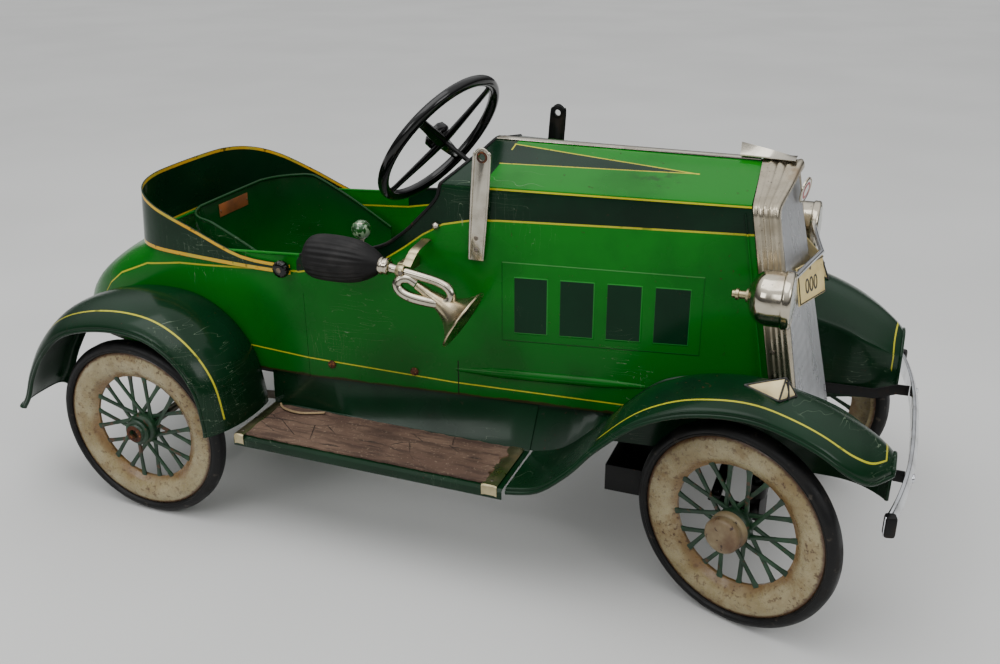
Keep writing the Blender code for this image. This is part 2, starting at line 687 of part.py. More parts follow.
def make_wheels():
    """Rear wheels are keyed to the crank axle. Front wheels run on the stub axles."""
    rim = [(RIM_R, -0.0095), (RIM_R, 0.0058), (RIM_R - 0.004, 0.0092), (RIM_R - 0.014, 0.0105)]
    rim += [(RIM_R - 0.025, 0.0078), (SPOKE_FIELD_R, 0.0012), (SPOKE_FIELD_R, -0.0030)]
    rim += [(RIM_R - 0.024, 0.0010), (RIM_R - 0.007, 0.0020), (RIM_R - 0.007, -0.0095)]
    hub = [(0, -0.011), (0.0165, -0.011), (HUB_R, -0.004), (HUB_R, 0.006), (0.0165, 0.0100), (0, 0.0100)]
    cap = [(0, 0.0165), (0.0090, 0.0165), (0.0090, 0.0105), (0.0195, 0.0105), (0.0195, 0.0175), (0.0172, 0.0195)]
    cap += [(0.0190, 0.0215), (0.0190, 0.0310), (0.0165, 0.0330), (0, 0.0335)]
    bores = {"rear": AXLE_R + 0.0004, "front": 0.0055}
    for label, side in SIDES:
        turn = 0 if side > 0 else math.pi
        rear = empty(f"rear_hub_{label}", (0, side * REAR_TRACK_Y, 0), REAR_HUB)
        front = empty(f"front_hub_{label}", (0, side * (FRONT_TRACK_Y - KINGPIN_Y), 0), STEERED[label])
        for end, holder in (("rear", rear), ("front", front)):
            holder.rotation_euler = (0, 0, turn)
            solid(
                f"{end}_wheel_{label}",
                lambda bm: add_turned(bm, rim, 28, shift=0.31),
                CREAM,
                holder,
                joins=[add_spokes, lambda bm: add_turned(bm, hub, 18, shift=0.17)],
                cuts=[lambda bm: add_pin(bm, bores[end], -0.02, 0.02)],
            )
            solid(f"{end}_tyre_{label}", tyre_shape, TYRE, holder)
        solid(f"hub_cap_{label}", lambda bm: add_turned(bm, cap, 28), CREAM, front)


def tyre_shape(bm):
    """The tread is flat across its middle, so a facet of it rests on the floor."""
    half, inner = TYRE_WIDTH / 2, RIM_R + 0.0008
    crest = (WHEEL_R - SINK) / math.cos(math.pi / TYRE_SIDES)
    profile = [(inner, -half + 0.002), (crest - 0.007, -half), (crest, -0.004), (crest, 0.004)]
    profile += [(crest - 0.007, half), (inner, half - 0.003)]
    add_turned(bm, profile, TYRE_SIDES, shift=0.5)


def make_rear_axle():
    """A bent bar with two throws: at rest the left one is up and the right one is down."""
    end = REAR_TRACK_Y + 0.016
    path = [(0, -end, 0), (0, -0.073, 0), (0, -0.067, -CRANK_THROW), (0, -0.045, -CRANK_THROW), (0, -0.039, 0)]
    path += [(0, -y, -z) for _, y, z in reversed(path)]
    solid("rear_axle", lambda bm: add_tube(bm, path, AXLE_R, 12, (1, 0, 0)), STEEL, REAR_HUB)


def make_pedal_gear():
    """Pedals swing on a hoop across the rails. Flat rods join them to the crank throws."""
    hoop = [(0, y * RAIL_Y, z) for y, z in ((-1, RAIL_TOP_Z + GAP - PEDAL_Z), (-1, 0), (1, 0), (1, RAIL_TOP_Z + GAP - PEDAL_Z))]
    pivot = empty("pedal_pivot", (PEDAL_X, 0, PEDAL_Z), FRAME)
    solid("pedal_hanger", lambda bm: add_tube(bm, hoop, 0.004, 10, (1, 0, 0)), BLACK, pivot)
    for label, side in SIDES:
        swing = empty(f"pedal_swing_{label}", (PEDAL_X, 0, PEDAL_Z), FRAME)

        def arm(bm):
            add_side_box(bm, side, (-0.006, 0.006), (0.060, 0.064), (-0.150, 0.002))

        def hub(bm):
            add_pin(bm, 0.009, -0.006, 0.006, (0, side * 0.062, 0), segments=20)

        def tread(bm):
            add_side_box(bm, side, (-0.006, 0.042), (0.062, 0.128), (-0.155, -0.120))

        def bore(bm):
            add_pin(bm, 0.0047, -0.02, 0.02, (0, side * 0.062, 0), segments=20)

        solid(f"pedal_{label}", arm, BLACK, swing, joins=[hub, tread], cuts=[bore])
        pin_z = WHEEL_R + side * CRANK_THROW
        crank = empty(f"crank_pin_{label}", (0, side * ROD_Y, side * CRANK_THROW), REAR_HUB)
        tip = Vector((PEDAL_X, 0, PEDAL_Z - 0.100 - pin_z))
        lean = Vector((-tip.z, 0, tip.x)).normalized() * 0.006

        def bar(bm):
            rings = []
            for spot in (Vector((0, 0, 0)), tip):
                corners = ((-1, -0.0015), (1, -0.0015), (1, 0.0015), (-1, 0.0015))
                rings.append([spot + lean * a + Vector((0, b, 0)) for a, b in corners])
            add_lofted(bm, rings)

        def eyes(radius, depth):
            spots = ((0, 0, 0), tuple(tip))
            return [
                lambda bm, s=s, r=r: add_pin(bm, r, -depth, depth, s, segments=20)
                for s, r in zip(spots, (radius, radius - 0.0025))
            ]

        solid(f"push_rod_{label}", bar, STEEL, crank, joins=eyes(0.0115, 0.0015), cuts=eyes(0.0067, 0.01))


# ---------------------------------------------------------------- steering


def make_knuckles():
    """Kingpin, stub axle and steering arm in one forging. A stud on the arm takes the tie rod."""
    reach = FRONT_TRACK_Y - KINGPIN_Y
    for label, side in SIDES:
        axle = [(0, 0.004), (0.008, 0.004), (0.008, reach - 0.0116), (0.005, reach - 0.0116), (0.005, reach + 0.0135), (0, reach + 0.0135)]
        parts = [
            lambda bm: add_pin(bm, 0.004, 0.010, 0.0375, axis="Z"),
            lambda bm: add_turned(bm, [(r, side * y) for r, y in axle], 16),
            lambda bm: add_box(bm, (-STEER_ARM - 0.007, -0.006, -0.011), (-0.004, 0.006, -0.006)),
            lambda bm: add_pin(bm, 0.003, -0.009, 0.0025, (-STEER_ARM, 0, 0), "Z"),
        ]
        solid(
            f"steering_knuckle_{label}",
            lambda bm: add_box(bm, (-0.009, -0.009, -0.012), (0.009, 0.009, 0.0155)),
            STEEL,
            STEERED[label],
            joins=parts,
        )


def make_tie_rod():
    """Joins the two arms. Its upright fork takes the end of the steering column's crank."""

    def bar(bm):
        add_box(bm, (-0.006, -KINGPIN_Y - 0.008, -0.0052), (0.006, KINGPIN_Y + 0.008, -0.0008))

    prongs = [
        lambda bm, s=side: add_side_box(bm, s, (-0.018, 0.010), (0.0040, 0.0070), (-0.0048, 0.0375))
        for _, side in SIDES
    ]
    holes = [
        lambda bm, s=side: add_pin(bm, 0.0037, -0.02, 0.02, (0, s * KINGPIN_Y, 0), "Z") for _, side in SIDES
    ]
    solid("tie_rod", bar, STEEL, TIE_MOUNT, joins=prongs, cuts=holes)


def wheel_lean():
    """The wheel is bent on its boss, so that its plane isn't square to the column."""
    stand = Matrix.Rotation(COLUMN_TILT - math.pi / 2, 4, "Y") @ Matrix.Rotation(REST_STEER, 4, "Z")
    facing = stand.inverted() @ Vector((-0.799, 0.172, 0.577)).normalized()
    drop = Matrix.Translation(stand.inverted() @ Vector((0, 0, -0.0022)))
    return drop @ Vector((0, 0, 1)).rotation_difference(facing).to_matrix().to_4x4()


def make_steering():
    """The column is one bar with a crank bent at its foot. The wheel is pinned to its head."""
    foot = -COLUMN_LENGTH
    path = [(0, 0, -0.006), (0, 0, foot), (-STEER_ARM + 0.005, 0, foot - 0.005), (-STEER_ARM, 0, foot - 0.010), (-STEER_ARM, 0, foot - 0.024)]
    solid("steering_column", lambda bm: add_tube(bm, path, 0.0032, 10), BLACK, COLUMN_MOUNT)
    tube = 0.0058
    turns = [2 * math.pi * k / 7 for k in range(7)]
    ring = [(STEER_WHEEL_R + tube * math.cos(t), tube * math.sin(t)) for t in turns]

    def spoke(angle):
        turn = wheel_lean() @ Matrix.Rotation(math.radians(angle), 4, "Z")

        def build(bm):
            rings = []
            for r, half, low, high in ((0.006, 0.0085, -0.009, -0.001), (0.055, 0.007, -0.006, 0.0), (STEER_WHEEL_R, 0.005, -0.003, 0.002)):
                corners = ((-half, low), (half, low), (half, high), (-half, high))
                rings.append([turn @ Vector((r, y, z)) for y, z in corners])
            add_lofted(bm, rings)

        return build

    boss = [(0, -0.012), (0.015, -0.012), (0.018, -0.008), (0.018, 0.0005), (0.011, 0.006), (0, 0.006)]

    def grip(bm):
        add_turned(bm, ring, 36, axis="Z")
        bm.transform(wheel_lean())

    solid(
        "steering_wheel",
        grip,
        GLOSS,
        COLUMN_MOUNT,
        joins=[lambda bm: add_turned(bm, boss, 20, axis="Z")] + [spoke(a) for a in (45, 135, 225, 315)],
        cuts=[lambda bm: add_pin(bm, 0.0037, -0.03, -0.0045, axis="Z")],
    )

    def dash(bm):
        add_box(bm, (0.424, -0.1260, 0.400), (0.432, 0.1260, 0.434))

    def bore(bm):
        axis = Vector((math.cos(COLUMN_TILT), 0, -math.sin(COLUMN_TILT)))
        add_tube(bm, [STEER_HUB + axis * d for d in (0.08, 0.16)], 0.0042, 16)

    solid("column_bracket", dash, BLACK, FRAME, cuts=[bore])


# ---------------------------------------------------------------- fittings


def make_fittings():
    for label, side in SIDES:
        wall = half_width(0) + 0.0018 + SHEET + GAP
        knob = [(0, wall), (0.006, wall), (0.006, wall + 0.003), (0.0105, wall + 0.004), (0.0105, wall + 0.011), (0.008, wall + 0.013), (0, wall + 0.013)]
        middle = (0.183, 0, 0.3445)
        solid(f"band_knob_{label}", lambda bm: add_turned(bm, [(r, side * y) for r, y in knob], 16, middle), GLOSS, FRAME)
        inner = half_width(0.418) + 0.0006

        def post(bm):
            outline = [(0.422, 0.377), (0.441, 0.377), (0.4455, 0.430), (0.4505, 0.499)]
            outline += [(0.4405 + 0.010 * math.cos(t), 0.499 + 0.010 * math.sin(t)) for t in [math.pi * k / 6 for k in range(1, 6)]]
            outline += [(0.4305, 0.499), (0.4255, 0.430)]
            add_lofted(bm, [[(x, side * y, z) for x, z in outline] for y in (inner, inner + 0.003)])

        def eye(bm):
            add_pin(bm, 0.0042, inner - 0.01, inner + 0.01, (0.4405, 0, 0.499)) if side > 0 else add_pin(
                bm, 0.0042, -inner - 0.01, -inner + 0.01, (0.4405, 0, 0.499)
            )

        solid(f"windshield_post_{label}", post, NICKEL if side < 0 else BLACK, FRAME, cuts=[eye])


def make_gear_lever():
    """A bent bar that turns on the inner face of the right rail, with a ball on top."""
    mount = empty("lever_pivot", (0.235, -0.079, 0.170), FRAME)
    ball = [(0.0195, -0.006, 0.1980), (0.0195, -0.006, 0.2000), (0.0195, -0.006, 0.2045), (0.0195, -0.006, 0.2100)]
    ball += [(0.0195, -0.006, 0.2155), (0.0195, -0.006, 0.2200), (0.0195, -0.006, 0.2220)]
    radii = [0.003, 0.003, 0.003, 0.004, 0.0075, 0.0108, 0.0120, 0.0108, 0.0075, 0.003]
    path = [(0, 0, -0.004), (0.002, 0, 0.020), (0.0185, -0.006, 0.190), *ball]
    hub = [(0, -0.0055), (0.008, -0.0055), (0.008, 0.002), (0, 0.002)]
    solid(
        "gear_lever",
        lambda bm: add_tube(bm, path, radii, 12),
        NICKEL,
        mount,
        joins=[lambda bm: add_turned(bm, hub, 16)],
    )


HORN_Y = 0.1810


def make_horn():
    """Rubber bulb, looped tube with a flared bell, and the clamp that holds it to the body."""
    bulb = ((0.2330, 0.010), (0.2345, 0.020), (0.241, 0.0262), (0.266, 0.0275), (0.294, 0.0255))
    bulb += ((0.314, 0.019), (0.329, 0.0115), (0.3325, 0.0085))
    bulb_path = [(x, -HORN_Y, 0.3750) for x, _ in bulb]
    solid("horn_bulb", lambda bm: add_tube(bm, bulb_path, [r for _, r in bulb], 20), BULB, FRAME)
    loop = ((0.3335, 0, 0.3735, 0.0095), (0.3410, 0, 0.3725, 0.0095), (0.3440, 0, 0.3720, 0.0050))
    loop += ((0.3740, 0, 0.3680, 0.0050), (0.4040, 0, 0.3625, 0.0052), (0.4170, 0.001, 0.3565, 0.0054))
    loop += ((0.4210, 0.002, 0.3475, 0.0055), (0.4150, 0.003, 0.3405, 0.0058), (0.4040, 0.004, 0.3380, 0.0060))
    loop += ((0.3840, 0.006, 0.3410, 0.0066), (0.3680, 0.007, 0.3465, 0.0072))
    flare = Vector((0.859, 0, -0.512))
    rim = Vector((0.4335, -HORN_Y, 0.3215))
    bell = ((-0.078, 0.0050), (-0.055, 0.0062), (-0.036, 0.0090), (-0.020, 0.0150), (-0.009, 0.0235))
    bell += ((-0.002, 0.0330), (0.0, 0.0375))
    inside = ((-0.0005, 0.0355), (-0.005, 0.0270), (-0.014, 0.0165), (-0.028, 0.0085))

    def bell_shape(bm):
        outer = tube_rings([rim + flare * d for d, _ in bell], [r for _, r in bell], 24)
        inner = tube_rings([rim + flare * d for d, _ in reversed(inside)], [r for _, r in reversed(inside)], 24)
        add_lofted(bm, outer + list(reversed(inner)))

    solid(
        "horn",
        bell_shape,
        NICKEL,
        FRAME,
        joins=[lambda bm: add_tube(bm, [(x, -HORN_Y - out, z) for x, out, z, _ in loop], [p[3] for p in loop], 10)],
    )
    wall = -half_width(0.350) - 0.0006

    def arm(bm):
        add_box(bm, (0.350, -HORN_Y + 0.0058, 0.364), (0.361, wall, 0.377))

    solid("horn_bracket", arm, NICKEL, FRAME)


# ---------------------------------------------------------------- assembly

FRAME = empty("car_frame", (-CENTRE_X, 0, -SINK))
REAR_HUB = empty("rear_axle_line", (0, 0, WHEEL_R), FRAME)
STEERED = {}
for label, side in SIDES:
    STEERED[label] = empty(f"kingpin_{label}", (WHEELBASE, side * KINGPIN_Y, WHEEL_R), FRAME, REST_STEER)
tie_x = WHEELBASE - STEER_ARM * math.cos(REST_STEER)
TIE_MOUNT = empty("tie_rod_line", (tie_x, -STEER_ARM * math.sin(REST_STEER), WHEEL_R), FRAME)
COLUMN_MOUNT = empty("column_line", STEER_HUB, FRAME)
tilt = Matrix.Rotation(COLUMN_TILT - math.pi / 2, 4, "Y")
COLUMN_MOUNT.rotation_euler = (tilt @ Matrix.Rotation(REST_STEER, 4, "Z")).to_euler()

make_shells()
make_radiator()
make_hood_trim()
make_fenders_and_boards()
make_chassis()
make_bumper()
make_lamps()
make_wheels()
make_rear_axle()
make_pedal_gear()
make_knuckles()
make_tie_rod()
make_steering()
make_fittings()
make_gear_lever()
make_horn()
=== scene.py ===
"""Looks of the pedal roadster: its skins, finishes, trim, lights and camera."""

import json
import math

import bmesh
import bpy
from mathutils import Matrix, Vector


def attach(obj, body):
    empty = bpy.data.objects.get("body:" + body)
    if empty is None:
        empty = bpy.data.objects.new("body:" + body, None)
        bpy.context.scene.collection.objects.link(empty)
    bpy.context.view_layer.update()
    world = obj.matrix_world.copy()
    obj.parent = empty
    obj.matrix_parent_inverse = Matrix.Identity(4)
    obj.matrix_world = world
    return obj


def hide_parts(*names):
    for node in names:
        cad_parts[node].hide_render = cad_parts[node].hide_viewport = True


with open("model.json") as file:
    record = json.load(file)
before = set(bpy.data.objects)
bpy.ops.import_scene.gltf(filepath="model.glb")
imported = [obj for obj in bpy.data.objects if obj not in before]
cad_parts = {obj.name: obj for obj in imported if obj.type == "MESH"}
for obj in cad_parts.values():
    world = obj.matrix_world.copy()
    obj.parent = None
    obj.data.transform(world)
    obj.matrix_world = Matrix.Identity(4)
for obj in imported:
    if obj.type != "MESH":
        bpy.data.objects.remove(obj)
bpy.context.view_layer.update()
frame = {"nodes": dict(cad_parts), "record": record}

# Sizes shared with the CAD, in metres, measured from the rear axle
CENTRE_X = 0.35875
WHEELBASE = 0.7755
WHEEL_R = 0.127
SINK = 0.0045
RIM_R = 0.1085
REAR_TRACK_Y, FRONT_TRACK_Y, KINGPIN_Y = 0.238, 0.193, 0.1455
REST_STEER = math.radians(-19.5)
RADIATOR_X, RADIATOR_HALF, RADIATOR_LOW_Z, RAKE = 0.736, 0.1009, 0.162, 0.18
BODY_TAPER, SEAM_X, SHOULDER_Z, HOOD_RISE = 0.0963, 0.205, 0.459, 0.0315
BODY_FLOOR_Z, RIM_Z, TAIL_START_X = 0.197, 0.362, 0.05
STEER_HUB = Vector((0.3273, 0.0, 0.4844))
STEER_WHEEL_R = 0.0943
BOARD_Z, BOARD_IN_Y, BOARD_OUT_Y = 0.147, 0.150, 0.246
LAMP_X, LAMP_Y, LAMP_Z, LAMP_R = 0.757, 0.140, 0.378, 0.031
HORN_Y = 0.1810
SHEET = 0.0016

SIDES = (("left", 1), ("right", -1))
BODIES = frame["record"]["behaviour"]["bodies"]
BODY_OF = {node: body for body, nodes in BODIES.items() for node in nodes}
HOME = Matrix.Translation((-CENTRE_X, 0, -SINK))


# ---------------------------------------------------------------- finishes


def tone(red, green, blue):
    """A screen colour of 0 to 255 as the linear colour that a shader takes."""
    linear = [(v / 255 / 12.92) if v < 11 else ((v / 255 + 0.055) / 1.055) ** 2.4 for v in (red, green, blue)]
    return (*linear, 1.0)


class Finish:
    """A material under construction. Its methods add nodes and hand back their outputs."""

    def __init__(self, name, roughness=0.5, metallic=0.0, coat=0.0, shine=0.5):
        self.material = bpy.data.materials.new(name)
        self.material.use_nodes = True
        self.tree = self.material.node_tree
        self.shader = self.tree.nodes["Principled BSDF"]
        self.shader.inputs["Roughness"].default_value = roughness
        self.shader.inputs["Metallic"].default_value = metallic
        self.shader.inputs["Specular IOR Level"].default_value = shine
        self.shader.inputs["Coat Weight"].default_value = coat
        self.shader.inputs["Coat Roughness"].default_value = 0.12
        self.place = self.node("ShaderNodeTexCoord").outputs["Object"]
        split = self.node("ShaderNodeSeparateXYZ")
        self.feed(split.inputs[0], self.place)
        self.x = self.math("ADD", split.outputs["X"], CENTRE_X)
        self.y = split.outputs["Y"]
        self.z = self.math("ADD", split.outputs["Z"], SINK)
        self.side = self.math("ABSOLUTE", self.y)

    def node(self, kind, **settings):
        made = self.tree.nodes.new(kind)
        for key, value in settings.items():
            setattr(made, key, value)
        return made

    def feed(self, socket, value):
        if isinstance(value, bpy.types.NodeSocket):
            self.tree.links.new(value, socket)
        else:
            socket.default_value = value

    def math(self, operation, a, b=0.0, c=0.0):
        made = self.node("ShaderNodeMath", operation=operation)
        for socket, value in zip(made.inputs, (a, b, c)):
            self.feed(socket, value)
        return made.outputs[0]

    def product(self, *values):
        total = values[0]
        for value in values[1:]:
            total = self.math("MULTIPLY", total, value)
        return total

    def most(self, *values):
        top = values[0]
        for value in values[1:]:
            top = self.math("MAXIMUM", top, value)
        return top

    def ease(self, value, start, end):
        """0 before start and 1 after end, with a smooth rise between."""
        made = self.node("ShaderNodeMapRange", interpolation_type="SMOOTHSTEP")
        self.feed(made.inputs["Value"], value)
        self.feed(made.inputs["From Min"], start)
        self.feed(made.inputs["From Max"], end)
        return made.outputs["Result"]

    def line(self, value, middle, half):
        """1 within half of the middle."""
        away = self.math("ABSOLUTE", self.math("SUBTRACT", value, middle))
        return self.math("SUBTRACT", 1.0, self.ease(self.math("DIVIDE", away, half), 0.8, 1.2))

    def within(self, value, low, high, soft=0.0003):
        over = self.ease(self.math("SUBTRACT", value, low), -soft, soft)
        under = self.ease(self.math("SUBTRACT", high, value), -soft, soft)
        return self.product(over, under)

    def noise(self, scale, detail=4.0, stretch=(1, 1, 1), roughness=0.55):
        spread = self.node("ShaderNodeMapping")
        self.feed(spread.inputs["Vector"], self.place)
        spread.inputs["Scale"].default_value = stretch
        made = self.node("ShaderNodeTexNoise")
        self.feed(made.inputs["Vector"], spread.outputs["Vector"])
        made.inputs["Scale"].default_value = scale
        made.inputs["Detail"].default_value = detail
        made.inputs["Roughness"].default_value = roughness
        return made.outputs["Fac"]

    def cells(self, scale, feature="DISTANCE_TO_EDGE", stretch=(1, 1, 1)):
        spread = self.node("ShaderNodeMapping")
        self.feed(spread.inputs["Vector"], self.place)
        spread.inputs["Scale"].default_value = stretch
        made = self.node("ShaderNodeTexVoronoi", feature=feature)
        self.feed(made.inputs["Vector"], spread.outputs["Vector"])
        made.inputs["Scale"].default_value = scale
        return made.outputs["Distance"]

    def lookup(self, value, table):
        """Straight-line lookup of value in rows of (key, result)."""
        keys, results = zip(*table)
        low, high = min(results), max(results)
        curve = self.node("ShaderNodeFloatCurve")
        points = curve.mapping.curves[0].points
        spots = [((k - keys[0]) / (keys[-1] - keys[0]), (r - low) / (high - low)) for k, r in table]
        for number, spot in enumerate(spots):
            if 0 < number < len(spots) - 1:
                points.new(*spot)
        points[0].location = spots[0]
        points[len(points) - 1].location = spots[-1]
        for point in points:
            point.handle_type = "VECTOR"
        curve.mapping.update()
        share = self.node("ShaderNodeMapRange")
        self.feed(share.inputs["Value"], value)
        share.inputs["From Min"].default_value = keys[0]
        share.inputs["From Max"].default_value = keys[-1]
        self.feed(curve.inputs["Value"], share.outputs["Result"])
        return self.math("MULTIPLY_ADD", curve.outputs["Value"], high - low, low)

    def mix(self, share, under, over, blend="MIX"):
        made = self.node("ShaderNodeMix", data_type="RGBA", blend_type=blend)
        self.feed(made.inputs["Factor"], share)
        self.feed(made.inputs[6], under)
        self.feed(made.inputs[7], over)
        return made.outputs[2]

    def bump(self, height, distance, strength=1.0):
        """Adds to whatever relief the finish already has."""
        made = self.node("ShaderNodeBump")
        made.inputs["Distance"].default_value = distance
        made.inputs["Strength"].default_value = strength
        self.feed(made.inputs["Height"], height)
        previous = self.shader.inputs["Normal"]
        if previous.is_linked:
            self.feed(made.inputs["Normal"], previous.links[0].from_socket)
        self.feed(previous, made.outputs["Normal"])

    def colour(self, value):
        self.feed(self.shader.inputs["Base Color"], value)

    def rough(self, share, low, high):
        self.feed(self.shader.inputs["Roughness"], self.math("MULTIPLY_ADD", share, high - low, low))

    def metal(self, value):
        self.feed(self.shader.inputs["Metallic"], value)


SILL_LINE = ((0.00, 0.2320), (0.12, 0.2280), (0.40, 0.2135), (0.62, 0.2105), (0.75, 0.2100))
RUST = tone(98, 52, 22)
DEEP_RUST = tone(48, 24, 12)
GREEN = tone(7, 114, 19)
# Painted shade: the darker green the body turns towards the bottom
GREEN_PAINTED_SHADE = tone(4, 86, 14)
TRIM = tone(7, 39, 19)
PINSTRIPE = tone(188, 182, 46)
ORANGE_STRIPE = tone(226, 170, 34)


def age_enamel(f, colour, rust=0.5):
    """Old gloss enamel: cloudy tone, rust pips, hairline scratches, dust and a faint ripple."""
    cloud = f.noise(9.0, 5.0)
    colour = f.mix(f.product(f.ease(cloud, 0.42, 0.72), 0.45), colour, tone(150, 150, 150), "MULTIPLY")
    patch = f.ease(f.noise(5.0, 2.0), 0.50, 0.66)
    pips = f.ease(f.noise(170.0, 2.0), 0.73 - 0.05 * rust, 0.76 - 0.05 * rust)
    spread = f.product(pips, f.math("MULTIPLY_ADD", patch, 0.75, 0.25))
    halo = f.product(f.ease(f.noise(170.0, 2.0), 0.66, 0.74), patch, 0.35)
    colour = f.mix(halo, colour, tone(60, 44, 20))
    colour = f.mix(spread, colour, DEEP_RUST)
    hair = f.line(f.noise(30.0, 1.0, (0.6, 0.6, 5.0)), 0.5, 0.0022)
    hair = f.product(hair, f.ease(f.noise(7.0, 1.0), 0.56, 0.62), 0.35)
    hair_up = f.line(f.noise(24.0, 1.0, (6.0, 6.0, 0.6)), 0.5, 0.0016)
    hair_up = f.product(hair_up, f.ease(f.noise(6.0, 1.0, (1, 1, 1.3)), 0.58, 0.64), 0.35)
    colour = f.mix(f.most(hair, hair_up), colour, tone(150, 165, 140))
    f.colour(colour)
    f.rough(f.most(f.product(f.ease(cloud, 0.4, 0.8), 0.6), spread), 0.20, 0.50)
    f.bump(f.noise(60.0, 2.0), 0.00035, 0.35)
    f.bump(spread, 0.0004, 0.5)


def body_green(name, pattern=None, rust=0.5):
    f = Finish(name, 0.3, coat=0.06, shine=0.12)
    # Painted shade: the green darkens towards the bottom, from 0.42 m down to 0.20 m height
    colour = f.mix(f.ease(f.z, 0.20, 0.42), GREEN_PAINTED_SHADE, GREEN)
    if pattern:
        colour = pattern(f, colour)
    age_enamel(f, colour, rust)
    return f.material


def trim_green(name, pattern=None, rust=0.4):
    f = Finish(name, 0.3, coat=0.13, shine=0.14)
    colour = f.mix(f.ease(f.noise(12.0, 3.0), 0.35, 0.7), TRIM, tone(12, 45, 25))
    if pattern:
        colour = pattern(f, colour)
    age_enamel(f, colour, rust)
    return f.material


def front_pattern(f, green):
    """Two greens with yellow lines, a spear on the hood, and four pressed panels on each side, with painted
    highlight and shade on the panels' raised rims and frame.
    """
    belt_low = f.lookup(
        f.x,
        ((0.20, 0.3395), (0.26, 0.352), (0.316, 0.367), (0.340, 0.383), (0.364, 0.401), (0.39, 0.416))
        + ((0.425, 0.4235), (0.458, 0.4255), (0.60, 0.4290), (0.745, 0.4320)),
    )
    belt_top = 0.4618
    above = f.ease(f.math("SUBTRACT", f.z, belt_low), -0.0002, 0.0002)
    on_hood = f.ease(f.z, belt_top - 0.0002, belt_top + 0.0002)
    cowl = f.ease(f.x, 0.4365, 0.4359)
    share = f.math("DIVIDE", f.math("SUBTRACT", f.x, 0.440), 0.222)
    spear_in = f.math("MULTIPLY_ADD", share, 0.030, 0.016)
    spear_out = f.math("MULTIPLY_ADD", share, -0.021, 0.067)
    spear = f.product(f.within(f.side, spear_in, spear_out), f.ease(f.x, 0.664, 0.662), on_hood)
    belt = f.product(above, f.math("SUBTRACT", 1.0, on_hood))
    dark = f.most(belt, f.product(on_hood, cowl), spear)
    shade = f.mix(f.ease(f.noise(14.0, 3.0), 0.35, 0.7), tone(6, 34, 18), tone(10, 44, 24))
    colour = f.mix(dark, green, shade)
    ahead = f.ease(f.x, 0.434, 0.436)
    side_only = f.math("SUBTRACT", 1.0, on_hood)
    low_line_z = f.lookup(f.x, SILL_LINE)
    lines = f.most(
        f.product(f.line(f.z, belt_low, 0.0011), side_only),
        f.product(f.line(f.z, belt_top, 0.0010), ahead),
        f.product(f.line(f.side, spear_in, 0.0010), on_hood, ahead, f.ease(f.x, 0.668, 0.666)),
        f.product(f.line(f.side, spear_out, 0.0010), on_hood, ahead, f.ease(f.x, 0.668, 0.666)),
        f.product(f.line(f.x, 0.4362, 0.0009), on_hood, f.within(f.side, 0.014, 0.030)),
        f.product(f.line(f.z, low_line_z, 0.0008), f.ease(f.x, 0.64, 0.62)),
    )
    worn = f.math("MULTIPLY_ADD", f.ease(f.noise(55.0, 3.0), 0.64, 0.70), -0.5, 1.0)
    colour = f.mix(f.product(lines, worn), colour, PINSTRIPE)
    step = f.math("DIVIDE", f.math("SUBTRACT", f.x, 0.4755), 0.0545)
    phase = f.math("FRACT", step)
    low_z = f.math("MULTIPLY_ADD", f.x, 0.035, 0.2725)
    high_z = f.math("MULTIPLY_ADD", f.x, 0.022, 0.3475)
    run = f.within(f.x, 0.4750, 0.6790)
    panels = f.product(f.within(phase, 0.004, 0.715, 0.006), f.within(f.z, low_z, high_z), run)
    raised = f.product(f.within(phase, -0.012, 0.735, 0.03),
        f.within(f.z, f.math("SUBTRACT", low_z, 0.0012), f.math("ADD", high_z, 0.0012), 0.0009), run)
    colour = f.mix(panels, colour, tone(3, 44, 22))
    # Painted highlight: the raised rim round each panel is painted a lighter green
    edge = f.math("SUBTRACT", raised, panels)
    colour = f.mix(f.product(f.ease(edge, 0.2, 0.8), 0.35), colour, tone(70, 170, 80))
    f.bump(raised, 0.0010, 0.8)
    outer_low = f.math("MULTIPLY_ADD", f.x, 0.030, 0.2640)
    outer_high = f.math("MULTIPLY_ADD", f.x, 0.012, 0.3705)
    across = f.within(f.x, 0.4610, 0.6920)
    tall = f.within(f.z, outer_low, outer_high)
    top_line = f.product(f.line(f.z, outer_high, 0.0007), across)
    low_line = f.product(f.line(f.z, outer_low, 0.0007), across)
    ends = f.product(f.most(f.line(f.x, 0.4610, 0.0006), f.line(f.x, 0.6920, 0.0006)), tall)
    # Painted highlight along the frame's top line, and painted shade along its lower line and ends
    colour = f.mix(f.product(top_line, 0.35), colour, tone(110, 190, 110))
    colour = f.mix(f.product(f.most(low_line, f.product(ends, 0.5)), 0.6), colour, tone(4, 40, 12))
    f.bump(f.most(top_line, low_line, ends), 0.0008, 0.8)
    seam = f.product(f.line(f.x, 0.4050, 0.0006), f.ease(f.z, 0.2440, 0.2430))
    hem = f.ease(f.math("SUBTRACT", f.z, f.product(f.noise(45.0, 4.0), 0.007)), 0.1975, 0.1950)
    colour = f.mix(seam, colour, tone(12, 20, 10))
    colour = f.mix(f.product(hem, 0.9), colour, tone(44, 28, 18))
    f.bump(f.math("SUBTRACT", 1.0, seam), 0.0008, 1.0)
    smudge = f.product(f.within(f.x, 0.60, 0.65, 0.02), f.within(f.side, 0.05, 0.085, 0.012), on_hood)
    smudge = f.product(smudge, f.ease(f.noise(70.0, 4.0), 0.50, 0.66), 0.55)
    return f.mix(smudge, colour, tone(38, 50, 24))


